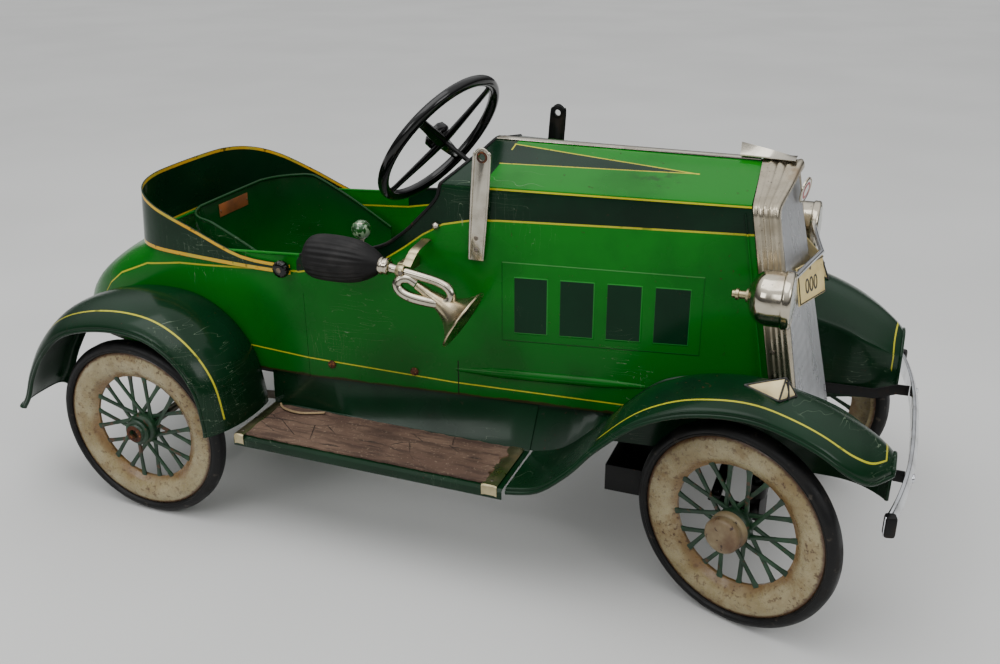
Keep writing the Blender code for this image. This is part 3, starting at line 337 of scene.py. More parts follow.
def rear_pattern(f, green):
    """A low line along each side and an arched one over the tail."""
    low_line_z = f.lookup(f.x, SILL_LINE)
    low = f.product(f.line(f.z, low_line_z, 0.0008), f.ease(f.x, 0.055, 0.065))
    arch_z = f.lookup(f.x, ((-0.150, 0.222), (-0.139, 0.247), (-0.115, 0.278), (-0.09, 0.297), (-0.036, 0.320),
        (0.02, 0.329), (0.06, 0.331), (0.21, 0.3405)))
    arch = f.product(f.line(f.z, arch_z, 0.0011), f.ease(f.side, 0.085, 0.095))
    colour = f.mix(f.most(low, arch), green, PINSTRIPE)
    hem = f.ease(f.math("SUBTRACT", f.z, f.product(f.noise(45.0, 4.0), 0.007)), 0.1975, 0.1950)
    return f.mix(f.product(hem, 0.9), colour, tone(44, 28, 18))


def attribute(f, name):
    return f.node("ShaderNodeAttribute", attribute_name=name).outputs["Fac"]


def band_pattern(f, trim):
    """A broad orange line along each edge of the band."""
    low, high = attribute(f, "from_first"), attribute(f, "from_last")
    edge = f.most(f.within(low, 0.0004, 0.0052), f.within(high, 0.0004, 0.0046))
    worn = f.math("MULTIPLY_ADD", f.ease(f.noise(70.0, 4.0), 0.60, 0.68), -0.75, 1.0)
    paint = f.mix(f.ease(f.noise(30.0), 0.4, 0.7), ORANGE_STRIPE, tone(196, 176, 60))
    return f.mix(f.product(edge, worn), trim, paint)


def fender_pattern(front):
    def pattern(f, trim):
        reach, nose = attribute(f, "from_lip"), attribute(f, "from_last")
        if front:
            stripe = f.product(f.line(reach, 0.0222, 0.0012), f.ease(nose, 0.0125, 0.0135),
                f.ease(f.x, 0.606, 0.614))
            turn = f.product(f.line(nose, 0.0135, 0.0012), f.within(reach, 0.0215, 0.118))
            lines = f.most(stripe, turn)
        else:
            lines = f.product(f.line(reach, 0.0290, 0.0012), f.ease(nose, 0.015, 0.018),
                f.ease(attribute(f, "from_first"), 0.016, 0.018))
        worn = f.math("MULTIPLY_ADD", f.ease(f.noise(80.0, 3.0), 0.62, 0.68), -0.6, 1.0)
        return f.mix(f.product(lines, worn), trim, PINSTRIPE)

    return pattern


def plated(name, base, shine, tarnish=0.4, rust=0.3):
    """Worn plate: brushed haze, brown tarnish in patches and small rust pits."""
    f = Finish(name, shine, 1.0)
    haze = f.noise(38.0, 6.0)
    colour = f.mix(f.product(f.ease(haze, 0.40, 0.72), 0.35), base, tone(120, 108, 88), "MULTIPLY")
    stain = f.product(f.ease(f.noise(16.0, 5.0), 0.66 - 0.16 * tarnish, 0.80 - 0.1 * tarnish), tarnish)
    colour = f.mix(stain, colour, tone(126, 92, 50))
    pits = f.product(f.ease(f.noise(230.0, 3.0), 0.74 - 0.08 * rust, 0.77 - 0.08 * rust),
        f.ease(f.noise(12.0), 0.42, 0.6))
    colour = f.mix(pits, colour, DEEP_RUST)
    f.colour(colour)
    f.metal(f.math("SUBTRACT", 1.0, f.most(f.product(stain, 0.4), pits)))
    streak = f.noise(120.0, 3.0, (1.0, 1.0, 0.2))
    f.rough(f.most(f.product(f.ease(haze, 0.35, 0.8), 0.8), f.product(stain, 1.0),
        f.product(f.ease(streak, 0.5, 0.8), 0.5)), shine, shine + 0.26)
    f.bump(f.noise(90.0, 4.0), 0.0002, 0.3)
    return f.material


def black_enamel(name, gloss, brown=0.3):
    f = Finish(name, gloss, coat=0.3 if gloss < 0.3 else 0.0, shine=0.25)
    wear = f.ease(f.noise(40.0, 5.0), 0.60 - 0.1 * brown, 0.76 - 0.1 * brown)
    colour = f.mix(f.product(wear, 0.3 + brown * 0.4), tone(9, 9, 9), tone(44, 33, 24))
    colour = f.mix(f.product(f.ease(f.noise(160.0, 2.0), 0.70, 0.74), brown), colour, RUST)
    f.colour(colour)
    f.rough(wear, gloss, gloss + 0.3)
    f.bump(f.noise(140.0, 3.0), 0.0002, 0.35)
    return f.material


def cream_rim(name):
    """Cream enamel: rust at both edges of the rim, and pips and runs between."""
    f = Finish(name, 0.4, coat=0.2)
    radius = attribute(f, "radius")
    fleck = f.noise(190.0, 8.0, roughness=0.7)
    cloud = f.noise(16.0, 5.0)
    colour = f.mix(f.ease(cloud, 0.35, 0.68), tone(164, 153, 118), tone(132, 116, 76))
    inner = f.ease(f.math("SUBTRACT", f.math("MULTIPLY_ADD", cloud, 0.030, 0.0),
        f.math("SUBTRACT", radius, 0.0700)), 0.0, 0.011)
    outer = f.ease(f.math("ADD", radius, f.product(fleck, 0.006)), 0.1065, 0.1105)
    blotch = f.product(f.ease(f.noise(42.0, 8.0, roughness=0.75), 0.44, 0.62),
        f.ease(f.noise(9.0, 2.0), 0.30, 0.62))
    colour = f.mix(f.product(inner, 0.8), colour, tone(112, 78, 34))
    colour = f.mix(f.product(blotch, 0.65), colour, tone(116, 88, 46))
    pips = f.product(f.ease(fleck, 0.535, 0.60), f.math("MULTIPLY_ADD", blotch, 0.6, 0.4))
    colour = f.mix(pips, colour, tone(70, 38, 18))
    colour = f.mix(f.product(outer, 0.9), colour, tone(78, 48, 28))
    f.colour(colour)
    f.rough(f.most(blotch, f.ease(fleck, 0.5, 0.7)), 0.26, 0.7)
    f.bump(fleck, 0.0004, 0.5)
    return f.material


def spoke_green(name):
    f = Finish(name, 0.4)
    colour = f.mix(f.ease(f.noise(50.0, 4.0), 0.4, 0.65), tone(14, 44, 24), tone(26, 62, 36))
    colour = f.mix(f.ease(f.noise(90.0, 4.0), 0.60, 0.66), colour, tone(72, 46, 24))
    f.colour(colour)
    f.rough(f.ease(f.noise(60.0, 3.0), 0.4, 0.7), 0.35, 0.7)
    f.bump(f.noise(120.0, 3.0), 0.0003, 0.5)
    return f.material


def tyre_rubber(name):
    f = Finish(name, 0.6, shine=0.25)
    dust = f.ease(f.noise(30.0, 6.0), 0.45, 0.75)
    colour = f.mix(f.product(dust, 0.4), tone(13, 13, 14), tone(44, 41, 38))
    colour = f.mix(f.product(f.ease(f.noise(110.0, 4.0), 0.62, 0.72), 0.4), colour, tone(88, 80, 70))
    f.colour(colour)
    f.rough(dust, 0.42, 0.8)
    f.bump(f.noise(260.0, 3.0), 0.0003, 0.4)
    f.bump(f.ease(f.cells(150.0), 0.0, 0.05), 0.0002, 0.3)
    return f.material


def mat_rubber(name):
    """Perished brown rubber, crazed and scuffed."""
    f = Finish(name, 0.8)
    cloud = f.noise(18.0, 6.0)
    grain = f.noise(90.0, 5.0, (0.16, 1.0, 1.0), 0.65)
    colour = f.mix(f.ease(cloud, 0.35, 0.68), tone(84, 62, 50), tone(112, 88, 72))
    colour = f.mix(f.product(f.ease(grain, 0.46, 0.62), 0.7), colour, tone(56, 39, 31))
    cracks = f.math("SUBTRACT", 1.0, f.ease(f.cells(30.0, stretch=(0.55, 1.3, 1.0)), 0.0, 0.016))
    cracks = f.product(cracks, f.ease(f.noise(9.0, 2.0), 0.50, 0.60))
    fine = f.math("SUBTRACT", 1.0, f.ease(grain, 0.30, 0.40))
    colour = f.mix(f.most(cracks, f.product(fine, 0.8)), colour, tone(30, 20, 16))
    grit = f.ease(f.noise(300.0, 2.0), 0.62, 0.70)
    colour = f.mix(f.product(grit, 0.35), colour, tone(160, 140, 118))
    f.colour(colour)
    f.rough(cloud, 0.7, 0.95)
    f.bump(f.math("SUBTRACT", grain, f.most(cracks, fine)), 0.0012, 0.8)
    return f.material


def bulb_rubber(name):
    f = Finish(name, 0.5, shine=0.25)
    f.colour(f.mix(f.ease(f.noise(40.0, 5.0), 0.45, 0.75), tone(11, 10, 10), tone(32, 30, 29)))
    f.rough(f.noise(30.0, 4.0), 0.4, 0.7)
    f.bump(f.noise(220.0, 3.0), 0.0002, 0.4)
    return f.material


def wire_mesh(name):
    """Bright core plate under a fine upright weave, with painted highlight on the raised wires and painted
    shade between them.
    """
    f = Finish(name, 0.3, 1.0)
    upright = f.math("SINE", f.product(f.y, 2 * math.pi / 0.0028))
    level = f.math("SINE", f.product(f.z, 2 * math.pi / 0.0016))
    weave = f.math("MULTIPLY_ADD", level, 0.25, upright)
    ripple = f.noise(14.0, 5.0, (1.0, 3.0, 0.8))
    # Painted highlight and shade: lighter where the weave stands up, darker in its hollows
    colour = f.mix(f.ease(weave, -0.9, 0.5), tone(136, 137, 141), tone(232, 234, 238))
    colour = f.mix(f.product(f.ease(ripple, 0.45, 0.75), 0.4), colour, tone(150, 146, 140), "MULTIPLY")
    f.colour(colour)
    f.rough(f.ease(ripple, 0.3, 0.8), 0.24, 0.45)
    f.bump(weave, 0.0004, 0.7)
    f.bump(ripple, 0.004, 0.4)
    return f.material


def lamp_glass(name):
    f = Finish(name, 0.08, coat=0.6)
    flutes = f.math("SINE", f.product(f.y, 2 * math.pi / 0.0045))
    # Painted highlight and shade: the flutes alternate lighter and darker bands
    colour = f.mix(f.ease(flutes, -1.0, 1.0), tone(150, 152, 146), tone(206, 207, 200))
    colour = f.mix(f.product(f.ease(f.noise(30.0, 4.0), 0.5, 0.7), 0.4), colour, tone(140, 120, 86))
    f.colour(colour)
    f.bump(flutes, 0.0006, 0.5)
    return f.material


def plain_paint(name, light, dark, gloss=0.4, flecks=0.3):
    """Small painted pieces in one colour, with grime and chips."""
    f = Finish(name, gloss, coat=0.2)
    colour = f.mix(f.ease(f.noise(24.0, 5.0), 0.35, 0.72), light, dark)
    colour = f.mix(f.product(f.ease(f.noise(110.0, 4.0), 0.63, 0.69), flecks + 0.3), colour, DEEP_RUST)
    f.colour(colour)
    f.rough(f.noise(40.0, 4.0), gloss, gloss + 0.25)
    f.bump(f.noise(130.0, 3.0), 0.0002, 0.4)
    return f.material


def marbled(name):
    """Green and white swirled glassy plastic."""
    f = Finish(name, 0.12, coat=0.6)
    swirl = f.noise(75.0, 3.0, (1.0, 1.0, 0.4), 0.6)
    twist = f.math("SINE", f.math("MULTIPLY_ADD", swirl, 22.0, f.product(f.z, 260.0)))
    colour = f.mix(f.ease(twist, -0.2, 0.5), tone(28, 82, 30), tone(150, 176, 140))
    colour = f.mix(f.ease(f.noise(90.0, 2.0), 0.55, 0.65), colour, tone(20, 60, 24))
    f.colour(colour)
    return f.material


def rusty_iron(name):
    f = Finish(name, 0.8, 0.3)
    colour = f.mix(f.ease(f.noise(120.0, 5.0), 0.4, 0.65), tone(82, 44, 24), tone(48, 26, 16))
    f.colour(f.mix(f.ease(f.noise(260.0, 3.0), 0.6, 0.68), colour, tone(140, 86, 44)))
    f.rough(f.noise(90.0, 3.0), 0.7, 0.95)
    f.bump(f.noise(200.0, 4.0), 0.0006, 0.8)
    return f.material


FRONT_GREEN = body_green("front_enamel", front_pattern)
REAR_GREEN = body_green("rear_enamel", rear_pattern)
def seat_painted_shade(f, green):
    """Painted shade: the seat's back is darker higher up, where the band shades it."""
    return f.mix(f.ease(f.z, 0.24, 0.37), tone(7, 88, 19), tone(5, 54, 17))


SEAT_GREEN = body_green("seat_enamel", seat_painted_shade, 0.8)
BAND_PAINT = trim_green("band_enamel", band_pattern)
FRONT_FENDER = trim_green("front_fender_enamel", fender_pattern(True))
REAR_FENDER = trim_green("rear_fender_enamel", fender_pattern(False))
TRIM_PAINT = trim_green("trim_enamel", rust=0.6)
NICKEL = plated("worn_nickel", tone(196, 190, 176), 0.16, 0.35, 0.3)
OLD_NICKEL = plated("old_nickel", tone(196, 188, 170), 0.09, 0.5, 0.8)
BRASS = plated("thin_brass", tone(186, 174, 138), 0.26, 0.6, 0.6)
CHROME = plated("bright_chrome", tone(222, 224, 228), 0.07, 0.12, 0.2)
GRILLE = wire_mesh("core_mesh")
BLACK = black_enamel("chassis_enamel", 0.42, 0.5)
GLOSS = black_enamel("gloss_enamel", 0.12, 0.05)
CREAM = cream_rim("wheel_enamel")
SPOKES = spoke_green("spoke_enamel")
TYRES = tyre_rubber("tyre_black")
MATS = mat_rubber("mat_brown")
BULB = bulb_rubber("bulb_black")
GLASS = lamp_glass("fluted_glass")
PLATE = plain_paint("plate_cream", tone(228, 206, 140), tone(196, 168, 98), 0.4, 0.2)
IVORY = plain_paint("lamp_ivory", tone(232, 214, 160), tone(206, 180, 120), 0.35, 0.1)
INK = plain_paint("ink_black", tone(22, 20, 18), tone(34, 28, 22), 0.35, 0.1)
LABEL = plain_paint("label_tin", tone(150, 84, 40), tone(104, 60, 30), 0.45, 0.4)
MARBLE = marbled("knob_marble")
IRON = rusty_iron("rusty_iron")
STEEL = plated("dull_steel", tone(128, 120, 110), 0.35, 0.8, 0.8)
ENAMEL_WHITE = plain_paint("badge_enamel", tone(236, 236, 232), tone(214, 212, 206), 0.2, 0.0)
ENAMEL_RED = plain_paint("badge_red", tone(170, 34, 30), tone(140, 26, 24), 0.2, 0.0)


# ---------------------------------------------------------------- building


def only(obj):
    """Makes obj the one selected and active object."""
    bpy.ops.object.select_all(action="DESELECT")
    obj.select_set(True)
    bpy.context.view_layer.objects.active = obj


def settle(obj, finish, node, stands=True, angle=35, body=None):
    """Applies modifiers and place, shades the piece, and ties it to its CAD node."""
    only(obj)
    if obj.type != "MESH":
        bpy.ops.object.convert(target="MESH")
    for modifier in list(obj.modifiers):
        bpy.ops.object.modifier_apply(modifier=modifier.name)
    bpy.ops.object.transform_apply(location=True, rotation=True, scale=True)
    bpy.ops.object.shade_smooth_by_angle(angle=math.radians(angle))
    obj.data.materials.clear()
    obj.data.materials.append(finish)
    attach(obj, body or BODY_OF[node])
    if stands:
        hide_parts(node)
    return obj


def soften(obj, width, segments=2, angle=30):
    bevel = obj.modifiers.new("edge", "BEVEL")
    bevel.width = width
    bevel.segments = segments
    bevel.limit_method = "ANGLE"
    bevel.angle_limit = math.radians(angle)
    return bevel


def dress(node, finish, edge=0.0, segments=2, angle=35):
    """A merged copy of a CAD node with soft edges, in place of it."""
    source = frame["nodes"][node]
    obj = bpy.data.objects.new(f"{node}_skin", source.data.copy())
    bpy.context.scene.collection.objects.link(obj)
    bm = bmesh.new()
    bm.from_mesh(obj.data)
    bmesh.ops.remove_doubles(bm, verts=bm.verts, dist=0.00001)
    bmesh.ops.dissolve_limit(bm, angle_limit=math.radians(0.6), verts=bm.verts, edges=bm.edges)
    bm.to_mesh(obj.data)
    bm.free()
    if edge:
        soften(obj, edge, segments)
    return settle(obj, finish, node, angle=angle)


def spline_points(knots, per_span):
    """Catmull-Rom points through knots of any dimension."""
    ends = [knots[0], *knots, knots[-1]]
    points = []
    for k in range(1, len(ends) - 2):
        before, here, there, after = (Vector(ends[k + d]) for d in (-1, 0, 1, 2))
        for step in range(per_span):
            t = step / per_span
            bend = 2 * before - 5 * here + 4 * there - after
            twist = 3 * here - before - 3 * there + after
            points.append(0.5 * (2 * here + (there - before) * t + bend * t**2 + twist * t**3))
    return [*points, Vector(knots[-1])]


def fine_rows(rows, along, across):
    """The same surface through more points, both along its rows and from row to row."""
    wide = [spline_points(row, across) for row in rows] if across > 1 else [[Vector(p) for p in row]
        for row in rows]
    if along == 1:
        return wide
    columns = [spline_points(column, along) for column in zip(*wide)]
    return [list(row) for row in zip(*columns)]


def skin(name, rows, core, finish, node, inward=True, depth=SHEET, smooth=50, rim=0.0):
    """A sheet through rows of points, thickened, with each point's distances from its edges."""
    bm = bmesh.new()
    marks = {n: bm.verts.layers.float.new(n) for n in ("from_lip", "from_first", "from_last")}
    first = [0.0] * len(rows[0])
    total = [sum((Vector(b[j]) - Vector(a[j])).length for a, b in zip(rows, rows[1:]))
        for j in range(len(rows[0]))]
    verts = []
    for i, row in enumerate(rows):
        line = []
        length = sum((Vector(b) - Vector(a)).length for a, b in zip(row, row[1:]))
        gone = 0.0
        for j, point in enumerate(row):
            if j:
                gone += (Vector(point) - Vector(row[j - 1])).length
            vert = bm.verts.new(HOME @ Vector(point))
            if i:
                first[j] += (Vector(point) - Vector(rows[i - 1][j])).length
            vert[marks["from_lip"]] = length - gone
            vert[marks["from_first"]] = first[j]
            vert[marks["from_last"]] = total[j] - first[j]
            line.append(vert)
        verts.append(line)
    for near, far in zip(verts, verts[1:]):
        for i in range(len(near) - 1):
            bm.faces.new((near[i], near[i + 1], far[i + 1], far[i]))
    bmesh.ops.recalc_face_normals(bm, faces=bm.faces)
    middle = HOME @ Vector(core)
    if sum(f.normal.dot(f.calc_center_median() - middle) * f.calc_area() for f in bm.faces) < 0:
        bmesh.ops.reverse_faces(bm, faces=bm.faces)
    mesh = bpy.data.meshes.new(name)
    bm.to_mesh(mesh)
    bm.free()
    obj = bpy.data.objects.new(name, mesh)
    bpy.context.scene.collection.objects.link(obj)
    thick = obj.modifiers.new("sheet", "SOLIDIFY")
    thick.thickness = depth
    thick.offset = -1.0 if inward else 1.0
    thick.use_even_offset = True
    if rim:
        soften(obj, rim, 2, 60)
    return settle(obj, finish, node, angle=smooth)


def turned(name, profile, segments, place, finish, node, stands=False, angle=35, wave=None):
    """Spins a profile of (radius, along) about the local Y axis, then puts it at place."""
    bm = bmesh.new()
    layer = bm.verts.layers.float.new("radius")
    columns = []
    for radius, along in profile:
        count = 1 if radius < 1e-6 else segments
        column = []
        for k in range(count):
            t = 2 * math.pi * k / segments
            r = radius * (1 + (wave(t, along) if wave else 0.0))
            vert = bm.verts.new((r * math.cos(t), along, r * math.sin(t)))
            vert[layer] = radius
            column.append(vert)
        columns.append(column)
    pairs = list(zip(columns, columns[1:]))
    if profile[0][0] > 1e-6 and profile[-1][0] > 1e-6:
        pairs.append((columns[-1], columns[0]))
    for a, b in pairs:
        for k in range(segments):
            n = (k + 1) % segments
            face = list(dict.fromkeys((a[k % len(a)], a[n % len(a)], b[n % len(b)], b[k % len(b)])))
            if len(face) > 2:
                bm.faces.new(face)
    bmesh.ops.recalc_face_normals(bm, faces=bm.faces)
    mesh = bpy.data.meshes.new(name)
    bm.to_mesh(mesh)
    bm.free()
    mesh.transform(place)
    obj = bpy.data.objects.new(name, mesh)
    bpy.context.scene.collection.objects.link(obj)
    return settle(obj, finish, node, stands, angle)


def wire(name, points, radius, finish, node, closed=False, stands=False, sides=3, place=HOME, body=None):
    """A round bar or bead along points. Radius may be a list, one for each point."""
    curve = bpy.data.curves.new(name, "CURVE")
    curve.dimensions = "3D"
    curve.bevel_depth = 1.0
    curve.bevel_resolution = sides
    curve.use_fill_caps = True
    spline = curve.splines.new("POLY")
    spline.points.add(len(points) - 1)
    spline.use_cyclic_u = closed
    for k, (spot, point) in enumerate(zip(spline.points, points)):
        spot.co = (*(place @ Vector(point)), 1.0)
        spot.radius = radius[k] if isinstance(radius, (list, tuple)) else radius
    obj = bpy.data.objects.new(name, curve)
    bpy.context.scene.collection.objects.link(obj)
    return settle(obj, finish, node, stands, 50, body)


def bolt(name, spot, facing, radius, finish, node, height=0.0025, style="dome", body=None):
    """A fastener head standing on a surface: domed, slotted, hexagonal or acorn."""
    sides = 6 if style in ("hex", "acorn") else 24
    bpy.ops.object.select_all(action="DESELECT")
    bpy.ops.mesh.primitive_cylinder_add(vertices=sides, radius=radius, depth=height)
    obj = bpy.context.object
    obj.name = name
    bpy.ops.object.mode_set(mode="EDIT")
    bm = bmesh.from_edit_mesh(obj.data)
    for face in bm.faces:
        face.select = face.normal.z > 0.9
    bmesh.update_edit_mesh(obj.data)
    if style == "acorn":
        for size in (0.92, 0.86, 0.66, 0.5):
            bpy.ops.mesh.extrude_region_move(TRANSFORM_OT_translate={"value": (0, 0, height * 0.32)})
            bpy.ops.transform.resize(value=(size, size, 1))
    elif style == "hex":
        bpy.ops.mesh.inset(thickness=radius * 0.42)
        bpy.ops.mesh.extrude_region_move(TRANSFORM_OT_translate={"value": (0, 0, height * 0.5)})
    elif style == "slot":
        bpy.ops.mesh.inset(thickness=radius * 0.25)
        bpy.ops.transform.translate(value=(0, 0, height * 0.35))
    else:
        for size, rise in ((0.80, 0.30), (0.62, 0.16), (0.4, 0.06)):
            bpy.ops.mesh.extrude_region_move(TRANSFORM_OT_translate={"value": (0, 0, height * rise)})
            bpy.ops.transform.resize(value=(size, size, 1))
    bpy.ops.object.mode_set(mode="OBJECT")
    if style == "slot":
        bpy.ops.mesh.primitive_cube_add(size=1)
        groove = bpy.context.object
        groove.scale = (radius * 3, radius * 0.28, height)
        groove.location = (0, 0, height * 1.05)
        cut = obj.modifiers.new("groove", "BOOLEAN")
        cut.object = groove
        only(obj)
        bpy.ops.object.modifier_apply(modifier="groove")
        bpy.data.objects.remove(groove, do_unlink=True)
    soften(obj, radius * 0.08, 1)
    obj.matrix_world = Matrix.Translation(HOME @ Vector(spot)) @ Vector(facing).to_track_quat("Z",
        "Y").to_matrix().to_4x4()
    return settle(obj, finish, node, stands=False, angle=40, body=body)


def slab(name, size, spot, finish, node, edge=0.0006, turn=(0, 0, 0), shape=None, body=None):
    """A plate or block with soft edges, shaped further in edit mode by shape."""
    bpy.ops.object.select_all(action="DESELECT")
    bpy.ops.mesh.primitive_cube_add(size=1)
    obj = bpy.context.object
    obj.name = name
    obj.scale = size
    bpy.ops.object.transform_apply(location=False, rotation=False, scale=True)
    if shape:
        bpy.ops.object.mode_set(mode="EDIT")
        shape(obj)
        bpy.ops.object.mode_set(mode="OBJECT")
    soften(obj, edge, 2)
    obj.rotation_euler = turn
    obj.location = HOME @ Vector(spot)
    return settle(obj, finish, node, stands=False, body=body)


# ---------------------------------------------------------------- shapes shared with the CAD

GAP = 0.0005
AXLE_R, COLUMN_LENGTH, STEER_ARM, TYRE_WIDTH, HUB_R, SPOKE_FIELD_R = 0.006, 0.492, 0.050, 0.024, 0.021, 0.074
FRONT_OUT_Y, FRONT_IN_Y, REAR_OUT_Y, REAR_IN_Y = 0.240, 0.107, 0.262, 0.1545
BOARD_REAR_X, BOARD_FRONT_X = 0.1455, 0.505
SIDE_LINES = (
    (BODY_FLOOR_Z, SEAM_X),
    (0.250, SEAM_X),
    (0.310, SEAM_X),
    (RIM_Z, SEAM_X),
    (0.379, 0.300),
    (0.399, 0.337),
    (0.427, 0.366),
    (0.447, 0.383),
)
HOOD_LINES = ((0.99, 0.10, 0.387), (0.955, 0.20, 0.389), (0.75, 0.37, 0.393), (0.5, 0.57, 0.397),
    (0.25, 0.78, 0.402), (0.0, 1.0, 0.406))
TAIL_LEVELS = (
    (0.0, -0.222, 2.8),
    (0.25, -0.211, 3.0),
    (0.45, -0.186, 3.3),
    (0.62, -0.154, 3.5),
    (0.78, -0.117, 3.5),
    (0.90, -0.083, 3.5),
    (1.0, -0.060, 3.5),
)
FRONT_CROWN = (
    (0.508, 0.1475, 0.000, 0.002),
    (0.545, 0.1570, 0.000, 0.003),
    (0.580, 0.1875, 0.001, 0.006),
    (0.610, 0.2250, 0.003, 0.013),
    (0.650, 0.2650, 0.007, 0.019),
    (0.692, 0.2890, 0.010, 0.030),
    (0.735, 0.2990, 0.011, 0.034),
    (0.774, 0.3000, 0.012, 0.035),
    (0.812, 0.2900, 0.012, 0.032),
    (0.845, 0.2780, 0.015, 0.029),
    (0.873, 0.2650, 0.022, 0.029),
    (0.890, 0.2550, 0.023, 0.029),
    (0.903, 0.2450, 0.014, 0.028),
    (0.911, 0.2360, 0.005, 0.022),
)
REAR_CROWN = (
    (-0.2050, 0.1290),
    (-0.1930, 0.1500),
    (-0.1770, 0.1900),
    (-0.1500, 0.2360),
    (-0.1100, 0.2730),
    (-0.058, 0.293),
    (0.002, 0.300),
    (0.055, 0.292),
    (0.100, 0.264),
    (0.130, 0.222),
    (0.1415, 0.172),
    (0.1430, 0.1515),
)


def smooth_path(knots, per_span):
    """Catmull-Rom points through knots of any dimension."""
    ends = [knots[0], *knots, knots[-1]]
    points = []
    for k in range(1, len(ends) - 2):
        before, here, there, after = (Vector(ends[k + d]) for d in (-1, 0, 1, 2))
        for step in range(per_span):
            t = step / per_span
            slope = there - before
            bend = 2 * before - 5 * here + 4 * there - after
            twist = 3 * here - before - 3 * there + after
            points.append(0.5 * (2 * here + slope * t + bend * t**2 + twist * t**3))
    return [*points, Vector(knots[-1])]


def blend(table, key):
    """Straight-line lookup in rows of (key, value)."""
    for (k0, v0), (k1, v1) in zip(table, table[1:]):
        if key <= k1:
            return v0 + (v1 - v0) * max(0.0, key - k0) / (k1 - k0)
    return table[-1][1]


def half_width(x):
    """Half of the body's width: straight beside the seat, then tapering to the radiator."""
    return RADIATOR_HALF + BODY_TAPER * (RADIATOR_X - max(x, SEAM_X))


def rake_x(x, z):
    """Moves a point at shoulder height along the radiator's lean."""
    return x + (SHOULDER_Z - z) * RAKE


def front_body_rows(stations):
    """Rows of points that run forward, from the right sill over the hood to the left sill."""
    half = [(1.0, z, start) for z, start in SIDE_LINES]
    half += [(share, SHOULDER_Z + HOOD_RISE * rise, start) for share, rise, start in HOOD_LINES]
    rows = []
    for share, z, start in [(-s, z, x) for s, z, x in half] + half[-2::-1]:
        end = rake_x(RADIATOR_X - 0.001, z)
        xs = [start + (end - start) * k / stations for k in range(stations + 1)]
        rows.append([(x, share * half_width(x), z) for x in xs])
    return rows


def plan_curve(rear_x, half, square, front_x, count=16):
    """Plan of the body's back, from its right side round the tail to its left side."""
    points = [(front_x, -half), ((front_x + TAIL_START_X) / 2, -half)]
    for k in range(count + 1):
        t = math.pi * k / count
        x = TAIL_START_X - (TAIL_START_X - rear_x) * abs(math.sin(t)) ** (2 / square)
        points.append((x, -half * math.copysign(abs(math.cos(t)) ** (2 / square), math.cos(t))))
    return points + [(x, -y) for x, y in (points[1], points[0])]


def rim_z(x):
    return RIM_Z - 0.012 * (1 - max(0.0, x) / SEAM_X)


def rear_body_rows():
    rows = []
    for share, rear_x, square in TAIL_LEVELS:
        plan = plan_curve(rear_x, half_width(0), square, SEAM_X - GAP)
        rows.append([(x, y, BODY_FLOOR_Z + share * (rim_z(x) - BODY_FLOOR_Z)) for x, y in plan])
    return rows


def band_rows():
    """The raised band round the cockpit: tallest behind the seat and narrow at its front ends."""
    half = half_width(0) + 0.0018
    low = plan_curve(-0.0735, half, 3.5, 0.190)
    high = plan_curve(-0.0650, half, 3.5, 0.190)
    lower = [(x, y, 0.3435 - 0.0085 * min(1.0, max(0.0, (x + 0.03) / 0.18))) for x, y in low]
    upper = [(x, y, max(0.3485, 0.4240 - 0.385 * (x + 0.0650))) for x, y in high]
    middle = [tuple((a + b) / 2 for a, b in zip(p, q)) for p, q in zip(lower, upper)]
    return [lower, middle, upper]


def seat_rows():
    """Inner surface of the seat's wall, from its top edge down to the base."""
    corner = 0.068
    rear_x, front_x, half = 0.002, 0.185, 0.128
    plan = [(front_x, -half), (0.125, -half)]
    for k in range(7):
        t = math.radians(270 - 15 * k)
        plan.append((rear_x + corner + corner * math.cos(t), -half + corner + corner * math.sin(t)))
    plan += [(x, -y) for x, y in reversed(plan)]
    floor_z = 0.232
    rows = []
    for share, shift, squeeze in ((1.0, 0.0, 1.0), (0.45, 0.004, 0.985), (0.07, 0.013, 0.955),
        (0.0, 0.022, 0.915)):
        row = []
        for x, y in plan:
            top = 0.381 - 0.068 * max(0.0, (x - 0.055) / 0.13) ** 1.2
            taper = shift * (1 - max(0.0, (x - 0.05) / 0.135))
            row.append((x + taper, y * squeeze, floor_z + share * (top - floor_z)))
        rows.append(row)
    return rows


def radiator_bow(y, z):
    """How far the pointed front stands ahead of its own side edges."""
    return (0.0205 + 0.05 * (0.44 - z)) * (1 - abs(y) / (RADIATOR_HALF + 0.0008))


def radiator_ring(inset, depth, cut=0.0, bow=0.0):
    """The radiator's outline, drawn in by inset, on a raked plane or on the pointed front."""
    half = RADIATOR_HALF + 0.0008 - inset
    shoulder = SHOULDER_Z + 0.001 - 0.45 * inset
    top = SHOULDER_Z + HOOD_RISE + 0.003 - inset
    side = [(half, RADIATOR_LOW_Z + cut), (half, 0.30), (half, shoulder - 0.006)]
    side += [(half - 0.003, shoulder + 0.002), (half - 0.010, shoulder + 0.006)]
    side += [(0.05, (shoulder + 0.006) * 0.56 + top * 0.44), (0.010, top - 0.0015)]
    points = [(-y, z) for y, z in side] + [(0, top)] + list(reversed(side)) + [(0, RADIATOR_LOW_Z + cut)]
    return [(rake_x(RADIATOR_X + depth, z) + bow * radiator_bow(y, z), y, z) for y, z in points]


